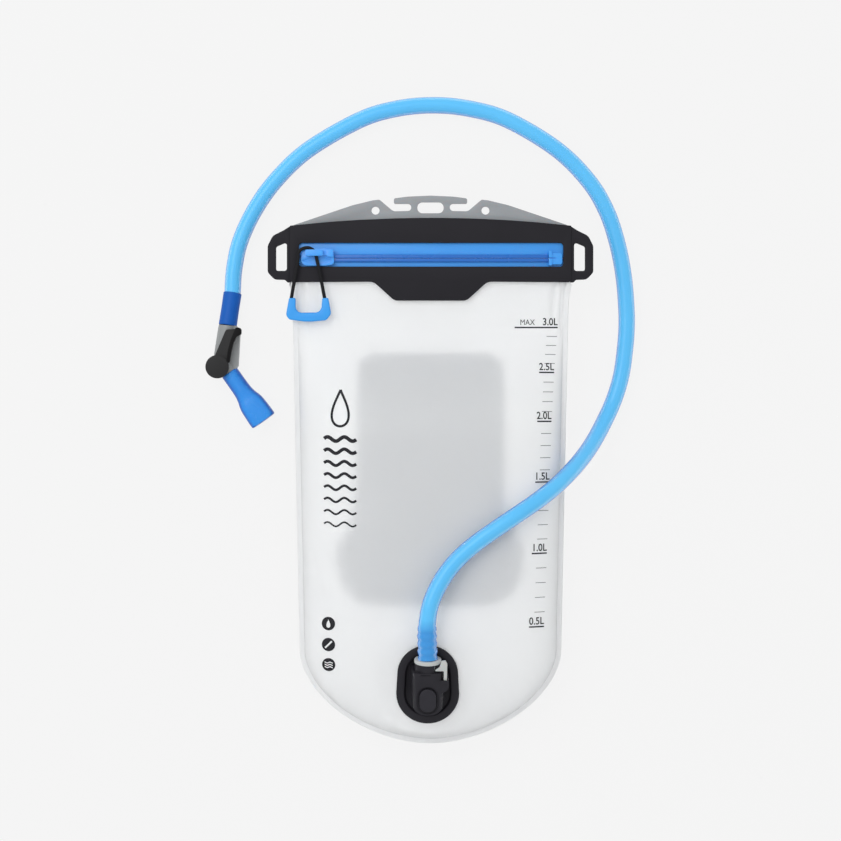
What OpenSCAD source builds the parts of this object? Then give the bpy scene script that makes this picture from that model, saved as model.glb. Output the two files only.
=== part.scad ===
// Hydration bladder: a soft welded film reservoir with a wide zip mouth, a rigid
// hanger, a quick-connect drinking port, and a hose with a shut-off and bite valve.
// It lies on its back. +Z is up through the front film, +Y points to the hanger,
// and the origin is under the middle of the bag. All sizes are in millimetres.

/* [Bag] */
// Y of the lowest point of the bag
bag_bottom_y = -197.1; // [-200:0.1:-195]
// Y of the straight top edge of the bag, hidden behind the zip band
bag_top_y = 174; // [173:0.5:174]
// Y where the straight sides turn into the round bottom
bag_round_y = -130; // [-134:1:-126]
// Half width of the bag at its top corners
bag_half_top = 100.3; // [99:0.1:100.5]
// Half width of the bag where the round bottom starts
bag_half_low = 94; // [92:0.5:96]
// Height of the weld seam above the floor
seam_z = 26; // [25.6:0.1:26.4]
// Rise of the front film above the seam
front_rise = 32; // [30:1:33]
// Thickness of each film
film_t = 0.8; // [0.6:0.1:0.8]
// Width of the weld around the edge
weld_w = 3.5; // [3:0.5:4]

/* [Zip band] */
// Half length of the band
band_half = 101; // [100.5:0.1:101.5]
// Y of the band's straight lower edge
band_low_y = 134.5; // [133:0.5:136]
// Y of the band's arched upper edge at its ends
band_end_y = 175; // [175:0.5:176]
// Y of the band's arched upper edge in the middle
band_mid_y = 180.6; // [179:0.1:182]
// Thickness of the band
band_t = 3.2; // [3:0.1:3.4]
// Height of the zip window
window_h = 17.1; // [16.5:0.1:17.5]
// Y of the closed zip's lip line
lip_y = 151.6; // [151.4:0.1:151.8]
// Travel of the slider from closed to open
slider_travel = 150; // [120:5:150]

/* [Hanger] */
// Thickness of the hanger plate
hanger_t = 2.2; // [2:0.1:2.4]
// Y of the top of the hook bar in the middle
hanger_top_y = 197.1; // [195:0.1:199]
// Half length of the hook bar
hook_bar_half = 26.4; // [25:0.1:28]
// Radius of the two hanging holes
hanger_hole_r = 2.9; // [2.5:0.1:3.2]
// Distance of each hanging hole from the middle
hanger_hole_x = 39.6; // [39:0.1:41]

/* [Port] */
// Tilt of the port's base plane, rising towards the hanger
port_tilt = 12; // [10:1:14]
// Thickness of the flange that is welded to the film
flange_t = 2.2; // [2:0.1:2.4]
// Height of the hose plug's axis above the base plane
plug_h = 10.4; // [10.4:0.1:10.6]
// Press travel of the release button
button_travel = 1.6; // [1.4:0.1:1.6]

/* [Hose] */
// Outer diameter of the hose
hose_d = 12; // [11:0.5:12]

/* [Drinking valve] */
// Radius of the lever's disc
disc_r = 8.4; // [8:0.1:8.6]
// Height of the valve's axis above the floor
valve_z = 8.5; // [8.5:0.1:9]

/* [Hidden] */
$fn = 48;
e = 0.01;

function lerp(a, b, t) = a + (b - a) * t;
function ease(t) = let (c = min(1, max(0, t))) c * c * (3 - 2 * c);
function unit(v) = v / norm(v);
function signed_pow(v, p) = sign(v) * pow(abs(v), p);

// Points of the arc that rounds the corner at p, between its neighbours a and b
function corner(a, p, b, r, n = 6) =
  let (u = unit(a - p), v = unit(b - p), half = acos(u * v) / 2,
       c = p + unit(u + v) * r / sin(half),
       s0 = p + u * r / tan(half) - c, s1 = p + v * r / tan(half) - c,
       a0 = atan2(s0.y, s0.x), turn = (atan2(s1.y, s1.x) - a0 + 540) % 360 - 180)
  [for (i = [0 : n]) c + r * [cos(a0 + turn * i / n), sin(a0 + turn * i / n)]];

// Closed outline whose corners are [x, y, radius]
function rounded(pts) = let (n = len(pts))
  [for (i = [0 : n - 1])
    let (p = pts[i], a = pts[(i + n - 1) % n], b = pts[(i + 1) % n])
    each (p.z > 0 ? corner([a.x, a.y], [p.x, p.y], [b.x, b.y], p.z) : [[p.x, p.y]])];

// Right half of an outline, from its top to its bottom, closed with its mirror image
function mirrored(pts) =
  concat(pts, [for (i = [len(pts) - 1 : -1 : 0]) if (pts[i].x > e) [-pts[i].x, pts[i].y, pts[i].z]]);

function box_outline(x0, y0, x1, y1, r) = rounded([[x0, y0, r], [x1, y0, r], [x1, y1, r], [x0, y1, r]]);

module plate(outline, z0, t) {
  translate([0, 0, z0]) linear_extrude(t) polygon(outline);
}

// Cylinder from p to q with end radii r and s
module rod(p, q, r, s) {
  d = q - p;
  translate(p)
    rotate([0, acos(d.z / norm(d)), atan2(d.y, d.x)])
      cylinder(h = norm(d), r1 = r, r2 = s);
}

// Catmull-Rom curve through pts, with n points for each span
function spline(p, q, r, s, t) =
  0.5 * (2 * q + (r - p) * t + (2 * p - 5 * q + 4 * r - s) * t * t + (3 * q - p - 3 * r + s) * t * t * t);
function smooth_path(pts, n) = let (last = len(pts) - 1)
  concat([for (i = [0 : last - 1], k = [0 : n - 1])
      spline(pts[max(i - 1, 0)], pts[i], pts[i + 1], pts[min(i + 2, last)], k / n)], [pts[last]]);

// Round solid swept along path, with one radius for each point
module sweep(path, radii, sides, up = [0, 0, 1]) {
  n = len(path);
  ring_points = [for (i = [0 : n - 1])
    let (t = unit(path[min(i + 1, n - 1)] - path[max(i - 1, 0)]),
         s = unit(cross(t, up)), w = cross(s, t))
    for (k = [0 : sides - 1])
      path[i] + radii[i] * (cos(360 * k / sides) * s + sin(360 * k / sides) * w)];
  walls = [for (i = [0 : n - 2], k = [0 : sides - 1])
    let (a = i * sides + k, b = i * sides + (k + 1) % sides)
    [a, b, b + sides, a + sides]];
  ends = [[for (k = [sides - 1 : -1 : 0]) k], [for (k = [0 : sides - 1]) (n - 1) * sides + k]];
  polyhedron(ring_points, concat(walls, ends), convexity = 8);
}

// ---- Bag ---------------------------------------------------------------------

side_n = 13;
round_n = 22;
top_n = 12;
ring_n = 11;
bottom_power = 1.8;
bag_centre = [0, -20];
front_power = 4;
rear_power = 8;
rear_sink = 27;
// Y where the front film starts to rise from the band, and where it is fully risen
front_rise_y = [110, 22];
// The same for the rear film, which keeps some depth behind the zip mouth
rear_sink_y = [150, 60];
mouth_depth_share = 0.6;
port_centre = [-2.1, -151];
port_z = 51.5;

// Outline of the bag, pulled in by d
function bag_outline(d) =
  let (top = [bag_half_top - d, bag_top_y - d], low = [bag_half_low - d, bag_round_y],
       drop = bag_round_y - bag_bottom_y - d, p = 2 / bottom_power)
  concat([for (i = [0 : side_n - 1]) lerp(top, low, i / side_n)],
    [for (i = [0 : round_n]) let (a = 180 * i / round_n)
      [low.x * signed_pow(cos(a), p), bag_round_y - drop * pow(sin(a), p)]],
    [for (i = [1 : side_n]) let (q = lerp(low, top, i / side_n)) [-q.x, q.y]],
    [for (i = [1 : top_n - 1]) [lerp(-top.x, top.x, i / top_n), top.y]]);

function ring_share(k) = sin(90 * k / ring_n);

// Distance in plan from the line between the two centres of the port's egg shape
function port_gap(q) = norm(q - [port_centre.x, min(port_centre.y + 7, max(port_centre.y - 7, q.y))]);

function front_height(q, s) =
  let (dome = front_rise * sqrt(1 - pow(s, front_power))
         * ease((front_rise_y[0] - q.y) / (front_rise_y[0] - front_rise_y[1])),
       seat = port_z - 1.4 - film_t - seam_z + (q.y - port_centre.y) * tan(port_tilt),
       w = 1 - ease((port_gap(q) - 27) / 15))
  lerp(dome, seat, w * ease((1 - s) * 25));

function rear_depth(q, s) =
  min(seam_z - film_t, rear_sink * sqrt(1 - pow(s, rear_power))
    * lerp(mouth_depth_share, 1, ease((rear_sink_y[0] - q.y) / (rear_sink_y[0] - rear_sink_y[1]))));

function flat_ring(outline, z) = [for (q = outline) [q.x, q.y, z]];

// Grid points of one dome surface: rings from the weld inwards, then the centre.
// side is +1 for the front film and -1 for the rear film.
function dome_points(d, z0, side) =
  let (edge = bag_outline(weld_w + d))
  concat([for (k = [ring_n : -1 : 1], q = edge)
      let (s = ring_share(k), w = bag_centre + s * (q - bag_centre))
      [w.x, w.y, z0 + (side > 0 ? front_height(w, s) : -rear_depth(w, s))]],
    [[bag_centre.x, bag_centre.y,
      z0 + (side > 0 ? front_height(bag_centre, 0) : -rear_depth(bag_centre, 0))]]);

// One film: a dome inside a flat weld flange, closed to a solid film_t thick
module film(side) {
  rim = bag_outline(0);
  n = len(rim);
  outer_z = seam_z + (side > 0 ? film_t : 0);
  inner_z = seam_z + (side > 0 ? 0 : film_t);
  points = concat(flat_ring(rim, outer_z), dome_points(0, outer_z, side),
    flat_ring(rim, inner_z), dome_points(film_t, inner_z, side));
  half = n * (ring_n + 1) + 1;
  skin = [for (i = [0 : ring_n - 1], k = [0 : n - 1])
    let (a = i * n + k, b = i * n + (k + 1) % n) each [[a, b, b + n], [a, b + n, a + n]]];
  cap = [for (k = [0 : n - 1]) [ring_n * n + k, ring_n * n + (k + 1) % n, half - 1]];
  outside = concat(skin, cap);
  inside = [for (f = outside) [f[2] + half, f[1] + half, f[0] + half]];
  wall = [for (k = [0 : n - 1]) let (b = (k + 1) % n) each [[b, k, k + half], [b, k + half, b + half]]];
  faces = concat(outside, inside, wall);
  polyhedron(points, side > 0 ? faces : [for (f = faces) [f[2], f[1], f[0]]], convexity = 6);
}

module front_film() {
  color([0.86, 0.89, 0.9, 0.6]) difference() {
    film(1);
    plate(box_outline(-91, lip_y - 4.8, 91, lip_y + 9.2, 2), seam_z - 1, 4);
    at_port() translate([0, 0, -15]) egg(-2.8, 20);
  }
}

module rear_film() {
  color([0.86, 0.89, 0.9, 0.6]) translate([0, 0, -film_t]) film(-1);
}

module back_panel() {
  color([0.68, 0.71, 0.74]) difference() {
    plate(rounded(mirrored([[53, 84, 14], [54, -34, 40], [66, -60, 40], [62, -100, 22]])), 4.4, 1);
    for (y = [34, -8, -52])
      plate(box_outline(-80, y - 0.6, 80, y + 0.6, 0.3), 5.1, 1);
  }
}

// ---- Zip band and mouth --------------------------------------------------------

band_z = seam_z + film_t;
window = [-94.6, lip_y - 6, 95.3, lip_y - 6 + window_h];
tape_t = 1;
tape_margin = 3.8;
tape_z = band_z;
rail_h = 2.2;
rail_w = 2.55;
slider_x = [-93, -69.2];
dock_x = slider_x[1] + slider_travel + 4;

// Arched upper edge of the band, from the right end to the left end
function band_arch(inset = 0) =
  let (rise = band_mid_y - band_end_y,
       r = (band_half * band_half + rise * rise) / (2 * rise),
       sweep_a = asin(band_half / r), n = 24)
  [for (i = [0 : n]) let (a = 90 - sweep_a + 2 * sweep_a * i / n)
    [(r - inset) * cos(a), band_mid_y - r + (r - inset) * sin(a)]];

band_tab = [[-band_half, band_low_y, 2], [-41, 134.9, 8], [-26, 121.3, 7], [26, 121.3, 7],
  [41, 134.9, 8], [band_half, band_low_y, 2]];

module zip_band() {
  color([0.18, 0.18, 0.2]) {
    difference() {
      plate(rounded(concat(band_tab, [for (q = band_arch()) [q.x, q.y, 0]])), band_z, band_t);
      plate(box_outline(window[0], window[1], window[2], window[3], 2.5), band_z - 1, 9);
      plate(box_outline(window[0] - tape_margin, window[1] - tape_margin,
        window[2] + tape_margin, window[3] + tape_margin, 0.4), band_z - 1, 1 + tape_t + 0.05);
    }
    // Rail along the arch that stands on the hanger plate
    plate(concat([[-96, 174.3], [96, 174.3]], [for (q = band_arch(0.6)) if (abs(q.x) < 96) q]),
      seam_z - film_t, film_t * 2 + e);
  }
}

// Moulded handle at one end of the band, with a finger slot
module wing() {
  difference() {
    plate(rounded([[band_half, 134.5, 0], [103.6, 134.5, 1.4], [105.4, 136.4, 2], [113, 136.6, 5],
      [117.6, 141.5, 4], [117.6, 160.6, 5], [114, 167.8, 6], [106, 171.8, 6],
      [band_half, band_end_y, 0]]), seam_z - 3, 6.4);
    plate(rounded([[103.8, 142.6, 1.8], [111.8, 142.6, 1.8], [111.8, 160.2, 1.8], [103.8, 163.6, 1.8]]),
      seam_z - 4, 9);
  }
}

module left_wing() {
  color([0.17, 0.17, 0.17]) mirror([1, 0, 0]) wing();
}

module right_wing() {
  color([0.17, 0.17, 0.17]) wing();
}

hanger_z = seam_z - film_t - hanger_t;

module hanger() {
  color([0.63, 0.64, 0.66]) difference() {
    plate(rounded(mirrored([[0, hanger_top_y, 0], [hook_bar_half - 10, hanger_top_y - 0.7, 60],
      [hook_bar_half, hanger_top_y - 2, 1.4],
      [hook_bar_half, 191.2, 1.2], [13.9, 191.2, 2.4], [13.9, 186.1, 2.4], [26.9, 185.8, 5],
      [36.8, 194.2, 2], [41.5, 193.7, 4], [56, 190.2, 30], [99.4, 175.6, 1], [95, 171.2, 1],
      [0, 171.2, 0]])), hanger_z, hanger_t);
    plate(box_outline(-9.45, 184.4, 9.45, 192.3, 3.6), hanger_z - 1, 9);
    for (x = [-hanger_hole_x, hanger_hole_x])
      translate([x, 186.3, hanger_z - 1]) cylinder(h = 9, r = hanger_hole_r);
  }
}

// Half of the zip tape: a flat strip between two Y values
module tape(y0, y1) {
  plate(box_outline(window[0] - tape_margin + 0.2, y0, window[2] + tape_margin - 0.2, y1, 0.1),
    tape_z, tape_t);
}

module zip_tape_upper() {
  color([0.27, 0.6, 0.93]) tape(lip_y + 0.1, window[3] + tape_margin - 0.2);
}

module zip_tape_lower() {
  color([0.27, 0.6, 0.93]) tape(window[1] - tape_margin + 0.2, lip_y - 0.1);
}

// One raised closing rail, with a rounded outer shoulder
module rail(side) {
  translate([dock_x - 0.2, lip_y + side * 0.1, tape_z + tape_t])
    rotate([90, 0, -90])
      linear_extrude(dock_x - 0.2 - slider_x[0])
        polygon([for (q = rounded([[0, 0, 0], [rail_w, 0, 0], [rail_w, rail_h, 0.8], [0, rail_h, 0.4]]))
          [-side * q.x, q.y]]);
}

module zip_rail_upper() {
  color([0.2, 0.52, 0.88]) rail(1);
}

module zip_rail_lower() {
  color([0.2, 0.52, 0.88]) rail(-1);
}

module zip_end_dock() {
  color([0.16, 0.45, 0.82]) difference() {
    union() {
      plate(box_outline(dock_x, lip_y - 5.2, dock_x + 2.4, lip_y + 5.2, 0.8), tape_z + tape_t, 3.8);
      plate(box_outline(dock_x + 1, lip_y - 4.4, 94.4, lip_y + 3.6, 1.5), tape_z + tape_t, 3);
    }
    plate(box_outline(dock_x - 1, lip_y - 0.4, 90, lip_y + 0.4, 0.1), tape_z + tape_t + 2.2, 2);
  }
}

module zip_start_stop() {
  color([0.16, 0.45, 0.82])
    plate(box_outline(-94.5, lip_y - 3.4, -93.3, lip_y + 3.4, 0.3), tape_z + tape_t, 2.8);
}

// ---- Slider and pull -------------------------------------------------------------

slider_plate_z = tape_z + tape_t + rail_h + 0.3;
slider_plate_t = 1.6;
cord_r = 1.25;
cord_z = 33.7;
knee_y = 150.4;
knee_gap = 1.8;
// Slope of the legs and the toggle, from the knee down to the film
pull_tilt = 2.8;
leg_top_left = [-94.8, knee_y, cord_z];
leg_top_right = [-81.4, knee_y, cord_z];
leg_end_left = [-99.8, 123, cord_z];
leg_end_right = [-75.9, 123, cord_z];

// Plan of the slider: round at the left end and blunt at the right end
slider_plan = rounded([[slider_x[0], 151, 5], [slider_x[0] + 1, 158.8, 4],
  [slider_x[1], 158.2, 2.5], [slider_x[1], 147, 2.5], [slider_x[1] - 5.8, 146.2, 6],
  [slider_x[0] + 1, 146.2, 4]]);
lens_centre = [-81.2, 149.8];
lens_size = [21.4, 5.3];

// Outline between two equal arcs
module lens(size) {
  r = (size.x * size.x / 4 + size.y * size.y / 4) / size.y;
  intersection_for(side = [-1, 1])
    translate([0, side * (r - size.y / 2)]) circle(r, $fn = 160);
}

module slider_body() {
  color([0.36, 0.68, 0.98]) difference() {
    union() {
      plate(slider_plan, slider_plate_z, slider_plate_t);
      for (y = [lip_y - 5, lip_y + 3.1])
        plate(box_outline(slider_x[0] + 3, y, slider_x[1] - 5.8, y + 1.9, 0.5),
          tape_z + tape_t + 0.3, slider_plate_z - tape_z - tape_t - 0.3 + e);
    }
    translate([lens_centre.x, lens_centre.y, slider_plate_z + slider_plate_t - 0.7])
      linear_extrude(2) lens(lens_size);
  }
}

module slider_bridge() {
  z0 = slider_plate_z + slider_plate_t;
  color([0.47, 0.76, 1]) {
    difference() {
      plate(box_outline(-89.6, 152.9, -77, 157.3, 1.2), z0, 5.1);
      plate(box_outline(-87.2, 150, -79.6, 160, 0.2), z0 - e, 3.3);
    }
    plate(box_outline(-78, 153.4, -73, 156.8, 0.8), z0, 2);
    plate(rounded([[-74.4, 152.8, 0.8], [-69.8, 152, 1], [-69.8, 157.8, 1], [-74.4, 157.2, 0.8]]), z0, 3);
  }
}

// Upper part of the cord: from the left leg round the slider's end and under the bridge
cord_route = [leg_top_left + [0.1, knee_gap, 0], [-94.6, 154.6, cord_z], [-93.2, 157.2, cord_z],
  [-90.4, 158.6, cord_z], [-87, 158.7, cord_z], [-84.4, 157.3, cord_z], [-82.6, 155, cord_z],
  leg_top_right + [-0.4, knee_gap, 0]];

module pull_cord_loop() {
  path = smooth_path(cord_route, 3);
  color([0.12, 0.12, 0.12]) sweep(path, [for (q = path) cord_r], 8);
}

module below_knee() {
  translate([0, knee_y, cord_z]) rotate([pull_tilt, 0, 0]) translate([0, -knee_y, -cord_z]) children();
}

module pull_cord_legs() {
  color([0.12, 0.12, 0.12]) below_knee()
    for (leg = [[leg_top_left, leg_end_left], [leg_top_right, leg_end_right]]) {
      translate(leg[0]) sphere(cord_r);
      rod(leg[0], leg[1], cord_r, cord_r);
    }
}

module pull_toggle() {
  t = 3.6;
  color([0.2, 0.53, 0.93]) below_knee()
    plate(rounded([[-101.4, 123, 1.2], [-103.7, 110.5, 4], [-101.2, 107.4, 3], [-88, 105.6, 40],
      [-74.8, 106.9, 3.4], [-71.2, 111.5, 4], [-73.2, 123, 1.2], [-77.6, 123, 1.2],
      [-78.4, 112.6, 4.6], [-96.8, 112.3, 4.6], [-96.6, 123, 1.2]]), cord_z - t / 2, t);
}

// ---- Drinking port -----------------------------------------------------------------

egg_low = [0, -7, 22.3];
egg_high = [0, 7.2, 21.5];
dish_inset = 6;
dish_z = -1.5;
housing_top = 19.8;
spigot_r = 7.3;
bore_r = 7.5;
bore_end_y = 5.4;
seal_y = 11;
mouth_r = 9.1;
housing_y = [-16.8, 13.9];
chamber_r = 4.6;
chamber_end_y = -12.6;
collar_y = [19.2, 21.8];
collar_r = 9.5;
button_y = -5.6;
button_w = 5.9;
button_half = 8.3;
button_z = [17.8, 21];
pocket_z = button_z[0] - button_travel - 0.4;
latch_pivot = [12.2, 6.2];
latch_z = 16.2;
latch_t = 2.2;

module at_port() {
  translate([port_centre.x, port_centre.y, port_z]) rotate([port_tilt, 0, 0]) children();
}

// Egg-shaped plate: two circles and the quad between their tangents, grown by d
module egg(d, h) {
  a = [egg_low.x, egg_low.y];
  b = [egg_high.x, egg_high.y];
  ra = egg_low.z + d;
  rb = egg_high.z + d;
  s = (ra - rb) / (b.y - a.y);
  n = [sqrt(1 - s * s), s];
  linear_extrude(h) {
    translate(a) circle(ra);
    translate(b) circle(rb);
    polygon([a + ra * n, b + rb * n, b + rb * [-n.x, n.y], a + ra * [-n.x, n.y]]);
  }
}

// Cylinder along the plug's axis between two Y values of the port's own frame
module along_plug(y0, y1, r) {
  translate([0, y0, plug_h]) rotate([-90, 0, 0]) cylinder(h = y1 - y0, r = r);
}

module port_flange() {
  color([0.17, 0.17, 0.18]) at_port() difference() {
    union() {
      egg(0, flange_t);
      translate([0, 0, -5]) egg(-3, 5 + e);
    }
    translate([0, 0, dish_z]) egg(-dish_inset, 6);
    translate([0, -8.2, -6]) cylinder(h = 12, r = 4.2);
  }
}

// Oval outline between y0 and y1, with half width w
function oval(w, y0, y1) = box_outline(-w, y0, w, y1, w - 0.1);

module port_housing() {
  color([0.2, 0.2, 0.21]) at_port() difference() {
    union() {
      intersection() {
        plate(rounded([[-12, housing_y[1], 2.5], [12, housing_y[1], 2.5], [12, housing_y[0], 11],
          [-12, housing_y[0], 11]]), dish_z, 25);
        translate([0, 30, 0]) rotate([90, 0, 0]) linear_extrude(60)
          polygon(rounded([[-12.2, dish_z, 0], [12.2, dish_z, 0], [9.8, housing_top, 3.6],
            [-9.8, housing_top, 3.6]]));
      }
      plate(rounded([[6, -3, 0], [14.8, 2.4, 5], [14.8, 8.8, 1.2], [6, 8.8, 0]]), flange_t,
        housing_top - flange_t);
      along_plug(13, collar_y[0] - 0.3, mouth_r);
    }
    along_plug(bore_end_y, collar_y[0], bore_r);
    along_plug(chamber_end_y, bore_end_y + 1, chamber_r);
    translate([0, -8.2, -3]) cylinder(h = plug_h + 3, r = 4.2);
    // Sunk ledge inside the raised rim round the button, and the button's pocket
    plate(oval(button_w + 1.9, button_y - button_half - 1.9, button_y + button_half + 1.5),
      housing_top - 0.9, 9);
    plate(oval(button_w + 0.4, button_y - button_half - 0.4, button_y + button_half + 0.4), pocket_z, 9);
    plate(box_outline(-5, 12.2, 2, 12.8, 0.2), housing_top - 0.6, 9);
    // Slot for the latch, under the shoulder that holds its pin
    plate(box_outline(8.6, 2.6, 16, 19, 0.5), latch_z - 0.3, latch_t + 0.6);
    plate(box_outline(4.6, 14.4, 16, 19, 0.5), latch_z - 0.3, 9);
    translate([latch_pivot.x, latch_pivot.y, latch_z - 4.3]) cylinder(h = 9, r = 1);
  }
}

module port_button() {
  color([0.23, 0.23, 0.25]) at_port() difference() {
    plate(oval(button_w, button_y - button_half, button_y + button_half), button_z[0],
      button_z[1] - button_z[0]);
    translate([0, button_y, button_z[0] - 1]) cylinder(h = 3, r = 3.5);
  }
}

// Coil of round wire along +Z, from 0 to h
module coil(r, wire_r, h, turns) {
  steps = 12 * turns;
  path = [for (i = [0 : steps]) let (a = 30 * i)
    [r * cos(a), r * sin(a), wire_r + (h - 2 * wire_r) * i / steps]];
  sweep(path, [for (q = path) wire_r], 6);
}

module button_spring() {
  color([0.75, 0.75, 0.77]) at_port()
    translate([0, button_y, pocket_z]) coil(2.7, 0.3, button_z[0] + 2 - pocket_z, 4);
}

module port_latch() {
  color([0.72, 0.74, 0.74]) at_port() difference() {
    union() {
      plate(rounded([[11.1, 5, 0.5], [13.3, 5, 0.5], [13.6, 20.6, 1.2], [12.2, 22.9, 0.8],
        [9.6, 22.5, 0.6], [8.2, 18, 0.5], [5.2, 16, 0.3], [5.5, 15.2, 0.3], [11.1, 15.2, 0.5]]),
        latch_z, latch_t);
      translate([latch_pivot.x, latch_pivot.y, latch_z]) cylinder(h = latch_t, r = 2);
    }
    translate([latch_pivot.x, latch_pivot.y, latch_z - 1]) cylinder(h = 9, r = 1.06);
  }
}

module latch_pin() {
  color([0.17, 0.17, 0.18]) at_port()
    translate([latch_pivot.x, latch_pivot.y, latch_z - 4.3]) cylinder(h = housing_top - latch_z + 4.3, r = 1);
}

module hose_plug() {
  color([0.75, 0.77, 0.77]) at_port() difference() {
    union() {
      along_plug(bore_end_y + 0.4, collar_y[0] + e, spigot_r);
      along_plug(collar_y[0], collar_y[1], collar_r);
    }
    along_plug(bore_end_y, collar_y[1] - 1, 3.2);
    difference() {
      along_plug(seal_y - 0.8, seal_y + 0.8, spigot_r + 1);
      along_plug(seal_y - 1, seal_y + 1, spigot_r - 1);
    }
  }
}

module port_o_ring() {
  color([0.1, 0.1, 0.1]) at_port() translate([0, seal_y, plug_h]) rotate([90, 0, 0])
    rotate_extrude() translate([6.9, 0]) circle(0.6);
}

module port_poppet() {
  color([0.8, 0.8, 0.8]) at_port() {
    along_plug(-5.4, -3.4, chamber_r - 0.6);
    along_plug(-3.4 - e, bore_end_y + 0.4, 1.4);
  }
}

module poppet_spring() {
  color([0.75, 0.75, 0.77]) at_port() translate([0, -5.4, plug_h]) rotate([90, 0, 0])
    coil(2.8, 0.3, -5.4 - chamber_end_y, 5);
}

// ---- Hose ------------------------------------------------------------------------------

plug_end = [port_centre.x, port_centre.y, port_z]
  + [0, collar_y[1] * cos(port_tilt) - plug_h * sin(port_tilt),
     collar_y[1] * sin(port_tilt) + plug_h * cos(port_tilt)];
cuff_start = [-144.2, 128, 6.4];
cuff_end = [-147.6, 104.2, valve_z];

// Route of the hose: out of the plug, over the front film, down past the right seam
// and round on the floor to the drinking valve
hose_route = [plug_end, [-2.3, -125, 67.3], [-2.6, -116, 69], [-2.4, -106, 70.2],
  [-0.6, -95, 70.4], [3.6, -84, 69.6], [10, -73, 68.2], [19, -62, 66.8], [31, -51.5, 65.8],
  [45, -41.5, 65], [60, -31.5, 63], [75, -21.5, 58.4], [89, -11, 50.6], [101, 0, 40.6],
  [111, 11, 30], [119, 22, 20.6], [126, 34, 13], [132, 46, 8.4], [136.5, 58, 6.6],
  [139.6, 70, 6.1], [141.6, 84, 6.1], [143, 100, 6.1], [143, 116, 6.1], [141, 140, 6.1],
  [136.4, 164, 6.1], [128.4, 188, 6.1], [115.2, 210, 6.1], [92, 233, 6.1], [57, 254, 6.1],
  [29, 262.4, 6.1], [2, 265, 6.1], [-25, 262.4, 6.1], [-52, 254, 6.1], [-89, 232.6, 6.1],
  [-112.6, 210.4, 6.1], [-128.2, 188.4, 6.1], [-138.6, 166, 6.1], [-143, 146, 6.1], cuff_start];

barb_r = 6.6;
barb_length = 26;

module hose() {
  path = smooth_path(hose_route, 2);
  // The first part is stretched over the plug's barbs
  color([0.2, 0.55, 0.92, 0.8]) sweep(path,
    [for (q = path) lerp(barb_r, hose_d / 2, ease((q.y - plug_end.y) / barb_length))], 10);
}

// ---- Drinking valve ----------------------------------------------------------------------

disc_centre = [-154.4, 74];
bite_start = [-146.2, 69.9, valve_z];
bite_end = [-121.3, 34.8, valve_z];
rotor_r = 5.2;
boss_z = [1.6, 15];
lever_z = 15.4;

// Bore from just past the rotor's centre to q
module flow_bore(q, r) {
  centre = [disc_centre.x, disc_centre.y, valve_z];
  rod(centre - 0.8 * unit(q - centre), q, r, r);
}

module valve_cuff() {
  color([0.11, 0.37, 0.75]) rod(cuff_start, cuff_end, 6.2, 6.5);
}

module valve_body() {
  color([0.6, 0.61, 0.61]) difference() {
    union() {
      plate(rounded([[-153.9, 104, 1], [-140.6, 104, 2], [-138.4, 99, 3], [-139.8, 75, 2],
        [-141.5, 72.4, 1], [-149, 67.4, 1], [-158, 72, 2], [-157, 84, 3]]), valve_z - 4, 8);
      rod(cuff_end, [-150, 80, valve_z], 6.5, 6.3);
      translate([disc_centre.x, disc_centre.y, boss_z[0]])
        cylinder(h = boss_z[1] - boss_z[0], r = disc_r - 0.6);
      rod([-150.8, 76.3, valve_z], bite_start, 6.3, 6.3);
    }
    translate([disc_centre.x, disc_centre.y, boss_z[0] + 1.6]) cylinder(h = 20, r = rotor_r + 0.05);
    flow_bore(cuff_end + unit(cuff_start - cuff_end), 2.8);
    flow_bore(bite_start + unit(bite_end - bite_start), 2.8);
  }
}

module valve_rotor() {
  z0 = boss_z[0] + 1.7;
  color([0.85, 0.85, 0.85]) difference() {
    translate([disc_centre.x, disc_centre.y, z0]) cylinder(h = lever_z - z0, r = rotor_r);
    flow_bore(cuff_end, 2.4);
    flow_bore(bite_start, 2.4);
    translate([disc_centre.x, disc_centre.y, boss_z[1] - 2]) difference() {
      cylinder(h = 1.2, r = rotor_r + 1);
      translate([0, 0, -1]) cylinder(h = 4, r = rotor_r - 0.9);
    }
  }
}

module rotor_o_ring() {
  color([0.1, 0.1, 0.1]) translate([disc_centre.x, disc_centre.y, boss_z[1] - 1.4])
    rotate_extrude() translate([rotor_r - 0.45, 0]) circle(0.45);
}

module valve_lever() {
  color([0.16, 0.16, 0.16]) {
    translate([disc_centre.x, disc_centre.y, lever_z]) cylinder(h = 3.6, r = disc_r);
    // Flat tapered arm, and the raised rib along its inner edge
    plate(rounded([[-157, 80, 2], [-148, 101, 2], [-139, 101.4, 2], [-140, 97, 1],
      [-143.4, 91, 10], [-145.4, 76, 2]]), lever_z, 2.4);
    plate(rounded([[-140.8, 102.4, 1.5], [-136.8, 102.2, 2], [-136.8, 97.4, 1.8], [-140.4, 95.6, 3],
      [-142.6, 91, 8], [-144.2, 84, 10], [-145.4, 77, 0.8], [-147.6, 77.6, 0.8], [-146.4, 86, 10],
      [-144.2, 94, 8]]), lever_z, 4.6);
  }
}

module bite_valve() {
  axis = unit(bite_end - bite_start);
  size = norm(bite_end - bite_start);
  color([0.2, 0.53, 0.9]) intersection() {
    translate(bite_start) rotate([0, 90, atan2(axis.y, axis.x)]) rotate_extrude()
      polygon(rounded([[0, 0, 0], [6.5, 0, 0.5], [6.5, 20, 12], [9.6, 28, 8], [9.9, size, 1.6],
        [0, size - 1, 0]]));
    translate([-170, 0, valve_z - 7.6]) cube([80, 90, 15.2]);
  }
}

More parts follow.
